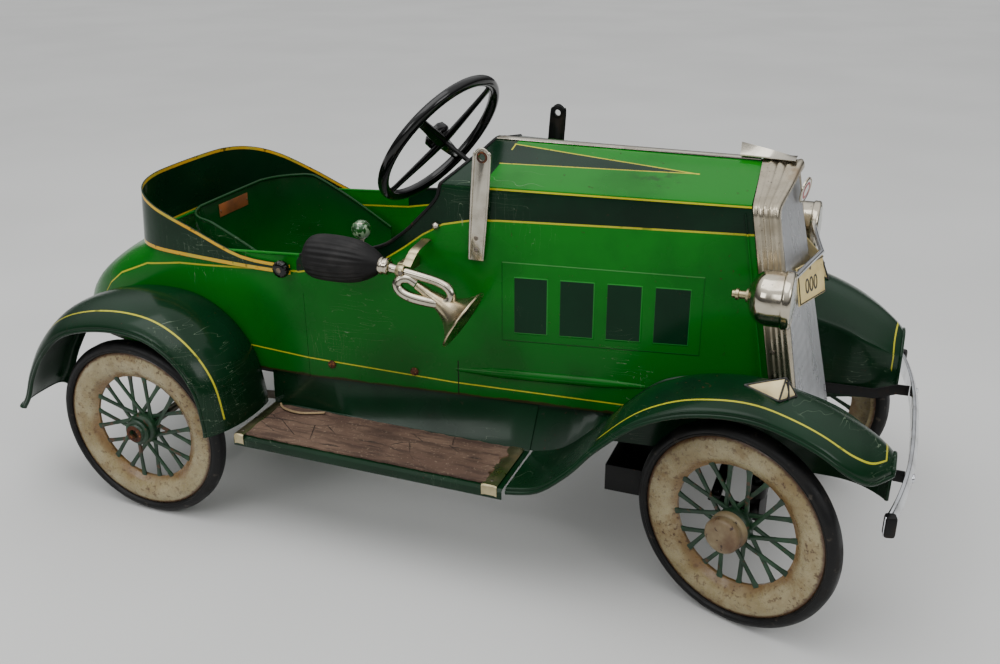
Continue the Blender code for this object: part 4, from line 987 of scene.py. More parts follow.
def front_fender_rows(side, per_span):
    """Sections along the crown, each from the inner skirt over the top to the outer bead."""
    rows = []
    for x, z, drop, fall in smooth_path(FRONT_CROWN, per_span):
        nose = min(1.0, max(0.0, (x - 0.845) / 0.073))
        inner = max(FRONT_IN_Y, half_width(x) + 0.002) + 0.040 * nose**2.5
        outer = FRONT_OUT_Y - 0.058 * nose**2.4
        wide = outer - inner
        skirt = min(z - fall - 0.008, max(0.1625, z - 0.150 * max(0.0, (x - 0.50) / 0.15)))
        row = [(0.0, skirt), (0.01, z - fall - 0.004), (0.05, z - 0.93 * fall), (0.22, z - 0.52 * fall),
            (0.40, z - 0.14 * fall)]
        row += [(0.58, z), (0.78, z - 0.22 * drop), (0.92, z - 0.60 * drop), (1.0, z - drop),
            (1.0, z - drop - 0.006)]
        rows.append([(x, side * (inner + wide * share), height) for share, height in row])
    return rows


def rear_fender_rows(side, per_span):
    """Sections square to the wheel arch, from the body over the top to the outer bead."""
    rows = []
    for x, z in smooth_path(REAR_CROWN, per_span):
        away = Vector((x, z - WHEEL_R)).normalized()
        tail = min(1.0, max(0.0, (-0.15 - x) / 0.07))
        drop = 0.022 * (1 - 0.6 * tail)
        row = ((REAR_IN_Y + 0.020 * tail, 0.016), (REAR_IN_Y + 0.020 * tail, 0.005), (0.180, 0.0))
        row += ((0.212, 0.0), (0.236 - 0.006 * tail, 0.25 * drop), (0.253 - 0.010 * tail, 0.62 * drop))
        row += ((REAR_OUT_Y - 0.012 * tail, drop), (REAR_OUT_Y - 0.012 * tail, drop + 0.006))
        rows.append([(x - away.x * inwards, side * y, z - away.y * inwards) for y, inwards in row])
    return rows


def board_row(side, x):
    """Splash apron, step and outer lip, folded from one sheet."""
    top = half_width(x) - 0.0040
    section = ((top, 0.206), (top, BODY_FLOOR_Z - 0.002), (BOARD_IN_Y, BOARD_Z + 0.002))
    section += ((BOARD_IN_Y + 0.002, BOARD_Z), (BOARD_OUT_Y - 0.003, BOARD_Z))
    section += ((BOARD_OUT_Y, BOARD_Z - 0.003), (BOARD_OUT_Y, BOARD_Z - 0.013))
    return [(x, side * y, z) for y, z in section]


def fender_top_z(x, y):
    """Height of the front fender's skin near its crown."""
    path = smooth_path(FRONT_CROWN, 2)
    crown = blend([(p[0], p[1]) for p in path], x)
    drop = blend([(p[0], p[2]) for p in path], x)
    share = (y - FRONT_IN_Y) / (FRONT_OUT_Y - FRONT_IN_Y)
    return crown - drop * blend(((0.58, 0.0), (0.78, 0.22), (0.92, 0.60), (1.0, 1.0)), share)


def plate_x(y, z):
    """Front face of the number plate, which is bent to follow the radiator's point."""
    return rake_x(0.7705, z) + 0.0225 * (1 - abs(y) / 0.060)


# ---------------------------------------------------------------- body


def dress_body():
    """Front body, rear body, cockpit band and seat."""
    rows = fine_rows(front_body_rows(8), 5, 4)
    skin("front_body_shell", rows, (0.5, 0, 0.3), FRONT_GREEN, "front_body", smooth=60)
    opening = [row[0] for row in rows if row[0][2] > 0.360]
    wire("cowl_edge_bead", opening, 0.0021, BLACK, "front_body")
    rows = fine_rows(rear_body_rows(), 4, 4)
    skin("rear_body_shell", rows, (0, 0, 0.3), REAR_GREEN, "rear_body", smooth=60)
    wire("rear_rim_bead", rows[-1], 0.0020, REAR_GREEN, "rear_body")
    rows = fine_rows(band_rows(), 6, 4)
    skin("cockpit_band_shell", rows, (0.05, 0, 0.38), BAND_PAINT, "cockpit_band", inward=False, smooth=60)
    dress("seat", SEAT_GREEN, 0.0006, 2, 50)
    wire("seat_rim_bead", fine_rows(seat_rows()[:1], 1, 4)[0], 0.0022, SEAT_GREEN, "seat")
    slab("seat_label", (0.0008, 0.068, 0.018), (0.0036, 0.0, 0.364), LABEL, "seat", 0.0003)
    for y in (-0.0315, 0.0315):
        bolt("seat_label_pin", (0.0040, y, 0.364), (1, 0, 0), 0.0012, STEEL, "seat", 0.0006)
    for label, side in SIDES:
        for number, (x, z) in enumerate(((0.237, 0.218), (0.348, 0.222))):
            spot = (x, side * (half_width(x) + 0.0004), z)
            bolt(f"sill_bolt_{label}_{number}", spot, (0.096, side, 0), 0.0052, IRON, "front_body", 0.0030)
        ridge = [(x, side * (half_width(x) - 0.0015), z) for x,
            z in ((0.402, 0.2315), (0.48, 0.2335), (0.56, 0.2355), (0.633, 0.2375))]
        points = spline_points(ridge, 8)
        swell = [0.0066 * min(1.0, 0.35 + 2.6 * min(k, len(points) - 1 - k) / len(points))
            for k in range(len(points))]
        wire(f"side_ridge_{label}", points, swell, FRONT_GREEN, "front_body", sides=5)
        spot = (0.382, side * (half_width(0.382) + 0.0006), 0.414)
        bolt(f"cowl_nut_{label}", spot, (0.096, side, 0), 0.0052, NICKEL, "front_body", 0.0036, "acorn")
        edge = [(0.7285, side * (half_width(0.7285) + 0.0005), z) for z in (0.205, 0.30, 0.40, 0.455)]
        wire(f"nose_seam_{label}", [(rake_x(x - 0.0005, z), y, z) for x, y, z in edge], 0.0011, FRONT_GREEN,
            "front_body")


def dress_trim():
    """Radiator, mesh, badge, hood strip and wing."""
    rings = [radiator_ring(0, 0.0), radiator_ring(0.0004, 0.0008), radiator_ring(0.0004, 0.0040)]
    for start in (0.0040, 0.0098, 0.0156):
        for share, rise in ((0.0, 0.0004), (0.18, -0.0005), (0.36, -0.0008), (0.54, -0.0005), (0.72, 0.0004),
            (1.0, 0.0004)):
            depth = start + share * 0.0058
            rings.append(radiator_ring(rise, depth, bow=depth / 0.0236))
    rings += [radiator_ring(0.0000, 0.0222, bow=0.97), radiator_ring(-0.0006, 0.0236, bow=1),
        radiator_ring(0.0002, 0.0256, 0.001, 1)]
    rings += [radiator_ring(0.0030, 0.0266, 0.003, 1), radiator_ring(0.0075, 0.0262, 0.008, 1),
        radiator_ring(0.0105, 0.0245, 0.012, 1), radiator_ring(0.011, 0.0225, 0.014, 1)]
    rings += [radiator_ring(0.011, 0.0, 0.014)]
    bm = bmesh.new()
    verts = [[bm.verts.new(HOME @ Vector(p)) for p in rounded(ring)] for ring in rings]
    for a, b in zip(verts, verts[1:] + verts[:1]):
        for k in range(len(a)):
            n = (k + 1) % len(a)
            bm.faces.new((a[k], a[n], b[n], b[k]))
    bmesh.ops.recalc_face_normals(bm, faces=bm.faces)
    mesh = bpy.data.meshes.new("radiator_band")
    bm.to_mesh(mesh)
    bm.free()
    obj = bpy.data.objects.new("radiator_band", mesh)
    bpy.context.scene.collection.objects.link(obj)
    settle(obj, RADIATOR_NICKEL, "radiator_shell", angle=50)
    dress("radiator_grille", GRILLE, 0.0004)
    spot = Vector((rake_x(RADIATOR_X + 0.0262, 0.463) + radiator_bow(0.0125, 0.463) + 0.0008, -0.0125, 0.463))
    tilt = Matrix.Translation(HOME @ spot) @ Matrix.Rotation(math.radians(-13), 4,
        "Z") @ Matrix.Rotation(math.atan(RAKE), 4, "Y") @ Matrix.Rotation(math.radians(-90), 4, "Z")
    turned("badge_rim", ((0, 0), (0.0150, 0), (0.0150, 0.0014), (0.0138, 0.0022), (0.0128, 0.0014),
        (0, 0.0014)), 48, tilt, OLD_NICKEL, "radiator_shell")
    turned("badge_field", ((0, 0.0012), (0.0127, 0.0012), (0.0120, 0.0018), (0.006, 0.0021), (0, 0.0022)), 40,
        tilt, ENAMEL_WHITE, "radiator_shell")
    turned("badge_ring", ((0.0070, 0.0018), (0.0098, 0.0018), (0.0098, 0.0023), (0.0070, 0.0024)), 40, tilt,
        ENAMEL_RED, "radiator_shell")
    for label, side in SIDES:
        bolt(f"radiator_screw_{label}", (rake_x(RADIATOR_X + 0.0065, 0.300), side * 0.1014, 0.300),
            (0, side, 0), 0.0030, STEEL, "radiator_shell", 0.0012, "slot")
    z = SHOULDER_Z + HOOD_RISE + GAP
    xs = [0.408 + 0.320 * k / 16 for k in range(17)]
    section = ((-0.0065, 0.0), (-0.0062, 0.0011), (-0.0040, 0.0019), (-0.0015, 0.0023), (0.0015, 0.0023),
        (0.0040, 0.0019), (0.0062, 0.0011), (0.0065, 0.0))
    skin("hood_strip_cap", [[(x, y, z + h) for y, h in section] for x in xs], (0.57, 0, 0.4), NICKEL,
        "hood_strip", depth=0.0004)
    bolt("hood_strip_screw", (0.416, 0, z + 0.0020), (0, 0, 1), 0.0024, STEEL, "hood_strip", 0.0010, "slot")
    rows = []
    for k in range(9):
        share = k / 8
        x, half, rise = 0.704 + 0.062 * share, 0.0022 + 0.0050 * share, 0.0125 * (1 - share) ** 0.9 + 0.0012
        base = z + 0.0040 - 0.0004 * share
        rows.append([(x, y, base + up) for y,
            up in ((-half - 0.006, 0.0), (-half - 0.003, 0.0006), (-half * 0.8, rise * 0.5), (0.0, rise),
                (half * 0.8, rise * 0.5), (half + 0.003, 0.0006), (half + 0.006, 0.0))])
    skin("radiator_wing_fold", rows, (0.74, 0, 0.45), NICKEL, "radiator_wing", depth=0.0007, smooth=25)


def rounded(ring):
    """A closed outline with its corners eased, keeping its long straight runs."""
    points = [Vector(p) for p in ring]
    eased = []
    for k, here in enumerate(points):
        before, after = points[k - 1], points[(k + 1) % len(points)]
        back = min(0.35, 0.003 / max(0.0001, (before - here).length))
        forth = min(0.35, 0.003 / max(0.0001, (after - here).length))
        start, end = here.lerp(before, back), here.lerp(after, forth)
        for t in (0, 0.25, 0.5, 0.75, 1):
            eased.append(start.lerp(here, t).lerp(here.lerp(end, t), t))
    return eased


def dress_fenders():
    for label, side in SIDES:
        node = f"front_fender_{label}"
        rows = fine_rows(front_fender_rows(side, 5), 1, 4)
        skin(f"{node}_sheet", rows, (WHEELBASE, side * 0.19, WHEEL_R), FRONT_FENDER, node, smooth=70)
        edge = [row[-1] for row in rows]
        wire(f"{node}_bead", edge, 0.0026, FRONT_FENDER_EDGE, node, sides=4)
        wire(f"{node}_nose_bead", rows[-1], 0.0024, FRONT_FENDER_EDGE, node, sides=4)
        node = f"rear_fender_{label}"
        rows = fine_rows(rear_fender_rows(side, 6), 1, 4)
        skin(f"{node}_sheet", rows, (0, side * 0.21, WHEEL_R), REAR_FENDER, node, smooth=70)
        edge = [row[-1] for row in rows]
        wire(f"{node}_bead", edge, 0.0026, FRONT_FENDER_EDGE, node, sides=4)
        wire(f"{node}_tail_bead", rows[0], 0.0022, FRONT_FENDER_EDGE, node, sides=4)


def torn_mat(name, side, finish, node):
    """A thin rubber sheet with ragged ends and a curled, split front edge."""
    from mathutils import noise

    bm = bmesh.new()
    long, wide = 96, 24
    grid = []
    for i in range(long + 1):
        column = []
        for j in range(wide + 1):
            s, t = i / long, j / wide
            x = 0.150 + 0.338 * s
            y = BOARD_IN_Y + 0.004 + (BOARD_OUT_Y - 0.006 - BOARD_IN_Y - 0.004) * t
            rag = noise.noise(Vector((3.0 * side, t * 9.0, 0.5))) * 0.008 + noise.noise(
                Vector((1.0 * side, t * 34.0, 2.5))) * 0.003
            if s > 0.9:
                x += (s - 0.9) * 10 * (rag - 0.004)
            if t > 0.9:
                y += (t - 0.9) * 10 * 0.0012 * noise.noise(Vector((s * 30.0, side, 0.1)))
            if t < 0.1:
                y += (0.1 - t) * 10 * 0.0030 * abs(noise.noise(Vector((s * 14.0, side, 4.1))))
            lump = 0.0009 * noise.noise(Vector((s * 12.0, t * 5.0, side))) + 0.0004 * noise.noise(
                Vector((s * 40.0, t * 14.0, side)))
            curl = 0.0028 * max(0.0, (s - 0.93) / 0.07) ** 2 * (0.5 + noise.noise(Vector((t * 6.0, side, 9.0))))
            z = BOARD_Z + GAP + 0.0024 + lump + curl
            column.append(bm.verts.new(HOME @ Vector((x, side * y, z))))
        grid.append(column)
    for a, b in zip(grid, grid[1:]):
        for j in range(wide):
            bm.faces.new((a[j], b[j], b[j + 1], a[j + 1]))
    bmesh.ops.recalc_face_normals(bm, faces=bm.faces)
    if bm.faces[:][0].normal.z < 0:
        bmesh.ops.reverse_faces(bm, faces=bm.faces[:])
    mesh = bpy.data.meshes.new(name)
    bm.to_mesh(mesh)
    bm.free()
    obj = bpy.data.objects.new(name, mesh)
    bpy.context.scene.collection.objects.link(obj)
    thick = obj.modifiers.new("rubber", "SOLIDIFY")
    thick.thickness = 0.0022
    thick.offset = -1.0
    return settle(obj, finish, node, angle=60)


def dress_boards():
    for label, side in SIDES:
        node = f"running_board_{label}"
        rows = []
        for x in (0.500, 0.515, 0.530, 0.545, 0.560, 0.575, 0.590, 0.605, 0.620):
            crown = blend([(p[0], p[1] - p[3]) for p in smooth_path(FRONT_CROWN, 2)], x)
            top = half_width(x) - 0.0042
            low = max(0.1470, crown - 0.001)
            rows.append([(x, side * top, max(0.208, low + 0.002)), (x, side * top, max(0.190, low + 0.0012)),
                (x, side * (top + 0.006 + 0.4 * (0.206 - low)), low)])
        skin(f"{node}_apron", rows, (0.55, 0, 0.1), TRIM_PAINT, node, depth=0.0012, smooth=60)
        xs = [BOARD_REAR_X + (BOARD_FRONT_X - BOARD_REAR_X) * k / 12 for k in range(13)]
        skin(f"{node}_sheet", [board_row(side, x) for x in xs], (0.3, side * 0.19, -1), TRIM_PAINT, node,
            smooth=35, rim=0.0006)
        torn_mat(f"board_mat_{label}", side, MATS, f"step_mat_{label}")
        for end, x, wide in (("rear", 0.1440, 0.0130), ("front", 0.4900, 0.0190)):
            outline = [(BOARD_IN_Y + 0.004, BOARD_Z + 0.0020), (BOARD_OUT_Y - 0.0005, BOARD_Z + 0.0020),
                (BOARD_OUT_Y + 0.0009, BOARD_Z + 0.0004), (BOARD_OUT_Y + 0.0009, BOARD_Z - 0.0110)]
            shift = 0.010 if end == "rear" else 0.0
            rows = [[(x + shift + d, side * y, z + (0.0022 if abs(d) < wide * 0.3 else 0.0012)) for y,
                z in outline] for d in (-wide / 2, -wide * 0.28, wide * 0.28, wide / 2)]
            skin(f"{end}_strap_{label}", rows, (x, side * 0.19, 0.0), BRASS, node, depth=0.0009, smooth=40)
            bolt(f"{end}_strap_pin_{label}", (x + shift, side * 0.236, BOARD_Z + 0.0034), (0, 0, 1), 0.0024,
                STEEL, node, 0.0011)
        strip = [(0.157, side * 0.156, 0.1515), (0.170, side * 0.168, 0.1522), (0.196, side * 0.171, 0.1516),
            (0.226, side * 0.160, 0.1520)]
        points = spline_points(strip, 8)
        rows = [[(x, y - side * 0.0028, z), (x + 0.002, y + side * 0.0028, z + 0.0010)] for x, y, z in points]
        skin(f"loose_strip_{label}", rows, (0.2, side * 0.16, 0.0), STRAW, f"step_mat_{label}", depth=0.0006)


# ---------------------------------------------------------------- running gear


def wheel_places():
    places = []
    for label, side in SIDES:
        turn = 0.0 if side > 0 else math.pi
        rear = Matrix.Translation((-CENTRE_X, side * REAR_TRACK_Y, WHEEL_R - SINK)) @ Matrix.Rotation(turn,
            4, "Z")
        pin = Matrix.Translation((WHEELBASE - CENTRE_X, side * KINGPIN_Y, WHEEL_R - SINK)) @ Matrix.Rotation(
            REST_STEER, 4, "Z")
        front = pin @ Matrix.Translation((0, side * (FRONT_TRACK_Y - KINGPIN_Y), 0)) @ Matrix.Rotation(turn,
            4, "Z")
        places += [("rear", label, rear), ("front", label, front)]
    return places


def spoke_pair(name, place, node):
    """Two layers of ten slim bars from the hub to the rim, leaning opposite ways so that they cross."""
    bm = bmesh.new()
    for lean, level in ((45, -0.0010), (-45, 0.0006)):
        for k in range(10):
            inner = math.radians(36 * k + 4 * math.copysign(1, lean))
            outer = math.radians(36 * k + lean)
            start = Vector((0.0170 * math.cos(inner), level, 0.0170 * math.sin(inner)))
            end = Vector((0.0752 * math.cos(outer), level + 0.0006, 0.0752 * math.sin(outer)))
            way = (end - start).normalized()
            across = way.cross(Vector((0, 1, 0))).normalized()
            rings = []
            for share, half in ((0.0, 0.0030), (0.3, 0.0024), (0.6, 0.0023), (0.86, 0.0026), (1.0, 0.0038)):
                spot = start.lerp(end, share)
                ring = []
                for side_step, rise in ((-1, -0.5), (1, -0.5), (1, 0.25), (0.55, 0.5), (-0.55, 0.5),
                    (-1, 0.25)):
                    ring.append(bm.verts.new(spot + across * half * side_step + Vector((0, 0.0024 * rise, 0))))
                rings.append(ring)
            for a, b in zip(rings, rings[1:]):
                for n in range(6):
                    m = (n + 1) % 6
                    bm.faces.new((a[n], a[m], b[m], b[n]))
            bm.faces.new(rings[0])
            bm.faces.new(rings[-1])
    bmesh.ops.recalc_face_normals(bm, faces=bm.faces)
    mesh = bpy.data.meshes.new(name)
    bm.to_mesh(mesh)
    bm.free()
    mesh.transform(place)
    obj = bpy.data.objects.new(name, mesh)
    bpy.context.scene.collection.objects.link(obj)
    return settle(obj, SPOKES, node, stands=False, angle=50)


def dress_wheels():
    half = TYRE_WIDTH / 2
    tyre = [(RIM_R + 0.0004, -half + 0.0022), (0.1112, -half + 0.0006), (0.1142, -half),
        (0.1172, -half + 0.0008)]
    tyre += [(0.1200, -half + 0.0032), (0.1218, -half + 0.0060), (0.1225, -0.0040), (0.1225, 0.0040),
        (0.1218, half - 0.0060)]
    tyre += [(0.1200, half - 0.0032), (0.1172, half - 0.0008), (0.1142, half), (0.1126, half - 0.0004),
        (0.1118, half + 0.0002), (0.1106, half - 0.0006), (RIM_R + 0.0004, half - 0.0030)]
    rim = [(RIM_R, -0.0095), (RIM_R + 0.0016, -0.0092), (RIM_R + 0.0012, 0.0058), (RIM_R + 0.0008, 0.0074),
        (RIM_R - 0.0012, 0.0086), (RIM_R - 0.0045, 0.0096)]
    rim += [(RIM_R - 0.0095, 0.0106), (RIM_R - 0.0150, 0.0108), (RIM_R - 0.0205, 0.0097),
        (RIM_R - 0.0255, 0.0077), (RIM_R - 0.0300, 0.0050)]
    rim += [(SPOKE_FIELD_R + 0.0012, 0.0018), (SPOKE_FIELD_R - 0.0012, 0.0006),
        (SPOKE_FIELD_R - 0.0012, -0.0030), (RIM_R - 0.024, 0.0010), (RIM_R - 0.007, 0.0020),
        (RIM_R - 0.007, -0.0095)]
    hub = [(0.0064, -0.011), (0.0165, -0.011), (0.0195, -0.007), (0.0208, -0.004), (0.0208, 0.0045),
        (0.0196, 0.0072), (0.0172, 0.0096), (0.0150, 0.0100), (0.0064, 0.0100)]
    cup = [(0.0064, 0.0095), (0.0150, 0.0098), (0.0172, 0.0110), (0.0176, 0.0150), (0.0162, 0.0168),
        (0.0130, 0.0172), (0.0122, 0.0200), (0.0105, 0.0212), (0.0075, 0.0214), (0.0064, 0.0200)]
    cap = [(0.0, 0.0165), (0.0090, 0.0165), (0.0090, 0.0105), (0.0212, 0.0105), (0.0220, 0.0112),
        (0.0220, 0.0162), (0.0210, 0.0178)]
    cap += [(0.0190, 0.0190), (0.0192, 0.0202), (0.0206, 0.0212), (0.0211, 0.0226), (0.0208, 0.0288),
        (0.0200, 0.0306), (0.0180, 0.0318), (0.0120, 0.0326), (0.0, 0.0328)]
    for end, label, place in wheel_places():
        wheel, rubber = f"{end}_wheel_{label}", f"{end}_tyre_{label}"
        turned(f"{wheel}_rim", rim, 128, place, CREAM, wheel, stands=True, angle=50)
        spoke_pair(f"{wheel}_spokes", place, wheel)
        turned(f"{wheel}_hub", hub, 48, place, SPOKES, wheel, angle=40)
        turned(f"{rubber}_tread", tyre, 160, place, TYRES, rubber, stands=True, angle=50)
        if end == "front":
            turned(f"hub_cap_{label}_cup", cap, 64, place, CAP_CREAM, f"hub_cap_{label}", stands=True, angle=40)
        else:
            turned(f"{wheel}_cup", cup, 48, place, SPOKES, wheel, angle=40)
            turned(f"{wheel}_washer",
                ((0.0066, 0.0205), (0.0112, 0.0205), (0.0116, 0.0214), (0.0108, 0.0222), (0.0066, 0.0222)), 40,
                place, IRON, wheel)
    dress("rear_axle", STEEL, 0.0004)
    for node in ("front_axle", "steering_knuckle_left", "steering_knuckle_right", "tie_rod"):
        dress(node, BLACK, 0.0004)
    for node in ("chassis_rail_left", "chassis_rail_right", "pedal_hanger", "bumper_bracket_left",
        "bumper_bracket_right"):
        dress(node, BLACK, 0.0005)
    for label in ("left", "right"):
        dress(f"push_rod_{label}", STEEL, 0.0003)
        dress(f"pedal_{label}", BLACK, 0.0004)


# ---------------------------------------------------------------- lamps, plate and bumper


def facet(name, corners, finish, node, stands=False):
    """One bulging three-cornered face of a lamp."""
    a, b, c = (Vector(p) for p in corners)
    out = (b - a).cross(c - a).normalized()
    if out.z < 0:
        out = -out
    count = 8
    bm = bmesh.new()
    grid = {}
    for i in range(count + 1):
        for j in range(count + 1 - i):
            s, t = i / count, j / count
            swell = 27 * s * t * (1 - s - t) * 0.0022
            grid[i, j] = bm.verts.new(HOME @ (a + (b - a) * s + (c - a) * t + out * swell))
    for i in range(count):
        for j in range(count - i):
            bm.faces.new((grid[i, j], grid[i + 1, j], grid[i, j + 1]))
            if i + j < count - 1:
                bm.faces.new((grid[i + 1, j], grid[i + 1, j + 1], grid[i, j + 1]))
    bmesh.ops.recalc_face_normals(bm, faces=bm.faces)
    if sum((f.normal.dot(out) for f in bm.faces)) < 0:
        bmesh.ops.reverse_faces(bm, faces=bm.faces[:])
    mesh = bpy.data.meshes.new(name)
    bm.to_mesh(mesh)
    bm.free()
    obj = bpy.data.objects.new(name, mesh)
    bpy.context.scene.collection.objects.link(obj)
    thick = obj.modifiers.new("depth", "SOLIDIFY")
    thick.thickness = 0.0007
    thick.offset = -1.0
    return settle(obj, finish, node, stands=stands, angle=60)


def dress_lamps():
    for label, side in SIDES:
        face = Matrix.Translation(HOME @ Vector((LAMP_X, side * LAMP_Y, LAMP_Z))) @ Matrix.Rotation(
            math.radians(-90), 4, "Z")
        shell = [(0.0, -0.0130), (0.0060, -0.0130), (0.0125, -0.0112), (0.0185, -0.0084), (0.0238, -0.0048),
            (0.0276, -0.0006), (0.0294, 0.0040), (0.0299, 0.0100)]
        shell += [(0.0299, 0.0228), (0.0304, 0.0240), (0.0312, 0.0246), (0.0316, 0.0262), (0.0312, 0.0282),
            (0.0315, 0.0300), (0.0308, 0.0322), (0.0292, 0.0334), (0.0276, 0.0328), (0.0268, 0.0308),
            (0.0268, 0.0250), (0.0, 0.0250)]
        turned(f"headlamp_{label}_bucket", shell, 72, face, OLD_NICKEL, f"headlamp_{label}", stands=True,
            angle=40)
        lens = [(0.0, 0.0290), (0.0266, 0.0290), (0.0268, 0.0314), (0.0236, 0.0332), (0.0180, 0.0345),
            (0.0110, 0.0354), (0.0, 0.0358)]
        turned(f"headlamp_lens_{label}_glass", lens, 64, face, GLASS, f"headlamp_lens_{label}", stands=True,
            angle=50)
        stud = [(0.0, -0.0300), (0.0030, -0.0300), (0.0044, -0.0292), (0.0044, -0.0262), (0.0062, -0.0256),
            (0.0062, -0.0226), (0.0044, -0.0220), (0.0044, -0.0150), (0.0070, -0.0146), (0.0078, -0.0120),
            (0.0, -0.0110)]
        turned(f"headlamp_{label}_stud", stud, 32, face, BRASS, f"headlamp_{label}", angle=35)
        node = f"fender_lamp_{label}"
        base = lambda x, y: (x, side * y, fender_top_z(x, y) + 0.0012)
        tail, outer, inner = base(0.7560, 0.1960), base(0.7930, 0.2090), base(0.8080, 0.1850)
        peak = (0.7965, side * 0.1950, fender_top_z(0.7965, 0.195) + 0.0215)
        for number, corners in enumerate(((tail, outer, peak), (outer, inner, peak), (inner, tail, peak))):
            facet(f"{node}_facet_{number}", corners, IVORY, node, stands=number == 0)
        edges = ((tail, outer), (outer, inner), (inner, tail), (tail, peak), (outer, peak), (inner, peak))
        for number, (start, end) in enumerate(edges):
            run = [Vector(start).lerp(Vector(end), k / 6) for k in range(7)]
            thick = 0.0014 if number < 3 else 0.0011
            wire(f"{node}_edge_{number}", run, thick, INK, node, sides=2)
        foot = Vector(outer).lerp(Vector(inner), 0.45)
        slab_run = [foot.lerp(Vector(peak), k / 6) + Vector((0.0012, 0, 0)) for k in range(6)]
        wire(f"{node}_divider", slab_run, 0.0018, INK, node, sides=2)
    ends = [(LAMP_X + 0.0275, -0.1112, 0.3895), (0.7960, -0.046, 0.3895), (0.8040, -0.004, 0.3895),
        (0.8040, 0.004, 0.3895), (0.7960, 0.046, 0.3895), (LAMP_X + 0.0275, 0.1112, 0.3895)]
    wire("lamp_bar_rod", spline_points(ends, 6), 0.0030, CHROME, "lamp_bar", stands=True, sides=5)
    ys = [0.060 * (k / 16 - 1) for k in range(33)]
    rows = []
    for z in (0.3412, 0.3418, 0.3440, 0.363, 0.3830, 0.3852, 0.3858):
        inset = 0.0006 if z in (0.3412, 0.3858) else 0.0
        rows.append([(plate_x(y, z) - inset, y * (1 - inset), z) for y in ys])
    skin("number_plate_sheet", rows, (0.60, 0, 0.36), PLATE, "number_plate", depth=0.0010, smooth=30)
    border = [(plate_x(y, z) + 0.0003, y, z) for y,
        z in ((-0.0575, 0.3432), (0.0, 0.3432), (0.0575, 0.3432), (0.0575, 0.3838), (0.0, 0.3838),
            (-0.0575, 0.3838))]
    wire("number_plate_border", border, 0.0008, INK, "number_plate", closed=True)
    for label, side in SIDES:
        bolt(f"plate_bolt_{label}", (plate_x(0.030, 0.379) + 0.0002, side * 0.030, 0.379), (1, 0, 0.1), 0.0024,
            STEEL, "number_plate", 0.0010)
    tilt = math.atan(RAKE)
    swing = math.atan(0.0225 / 0.060)
    for number, (word, y, z, size) in enumerate((("000", -0.030, 0.3590, 0.0250),
        ("000", 0.030, 0.3590, 0.0250))):
        plate_word(f"plate_word_{number}", word, y, z, size, tilt, swing)


def plate_word(name, word, y, z, size, tilt, swing):
    """Raised black characters on one face of the plate."""
    bpy.ops.object.text_add()
    digits = bpy.context.object
    digits.name = name
    digits.data.body = word
    digits.data.align_x = "CENTER"
    digits.data.align_y = "CENTER"
    digits.data.size = size
    digits.data.extrude = 0.0003
    only(digits)
    bpy.ops.object.convert(target="MESH")
    digits = bpy.context.object
    face = Matrix.Rotation(math.copysign(swing, y), 4, "Z") @ Matrix.Rotation(-tilt, 4, "Y")
    upright = Matrix.Rotation(math.radians(90), 4, "Z") @ Matrix.Rotation(math.radians(90), 4, "X")
    digits.matrix_world = Matrix.Translation(
        HOME @ Vector((plate_x(y, z) + 0.0001, y, z))) @ face @ upright @ Matrix.Diagonal((0.80, 1, 1, 1))
    settle(digits, INK, "number_plate", stands=False)


def dress_bumper():
    dress("bumper_bar", CHROME, 0.0008, 3, 50)
    for label, side in SIDES:
        back = 0.9310 - 0.022 * (0.2165 / 0.222) ** 2.6
        slab(f"bumper_cap_{label}", (0.0122, 0.0125, 0.0252), (back + 0.0046, side * 0.2172, 0.180), BLACK,
            "bumper_bar", 0.0034, (0, 0, -side * math.radians(14)))
        back = 0.9310 - 0.022 * (0.113 / 0.222) ** 2.6
        bolt(f"bumper_bolt_{label}", (back + 0.0080, side * 0.113, 0.180), (1, 0, 0), 0.0052, CHROME,
            "bumper_bar", 0.0024)


# ---------------------------------------------------------------- cockpit and horn


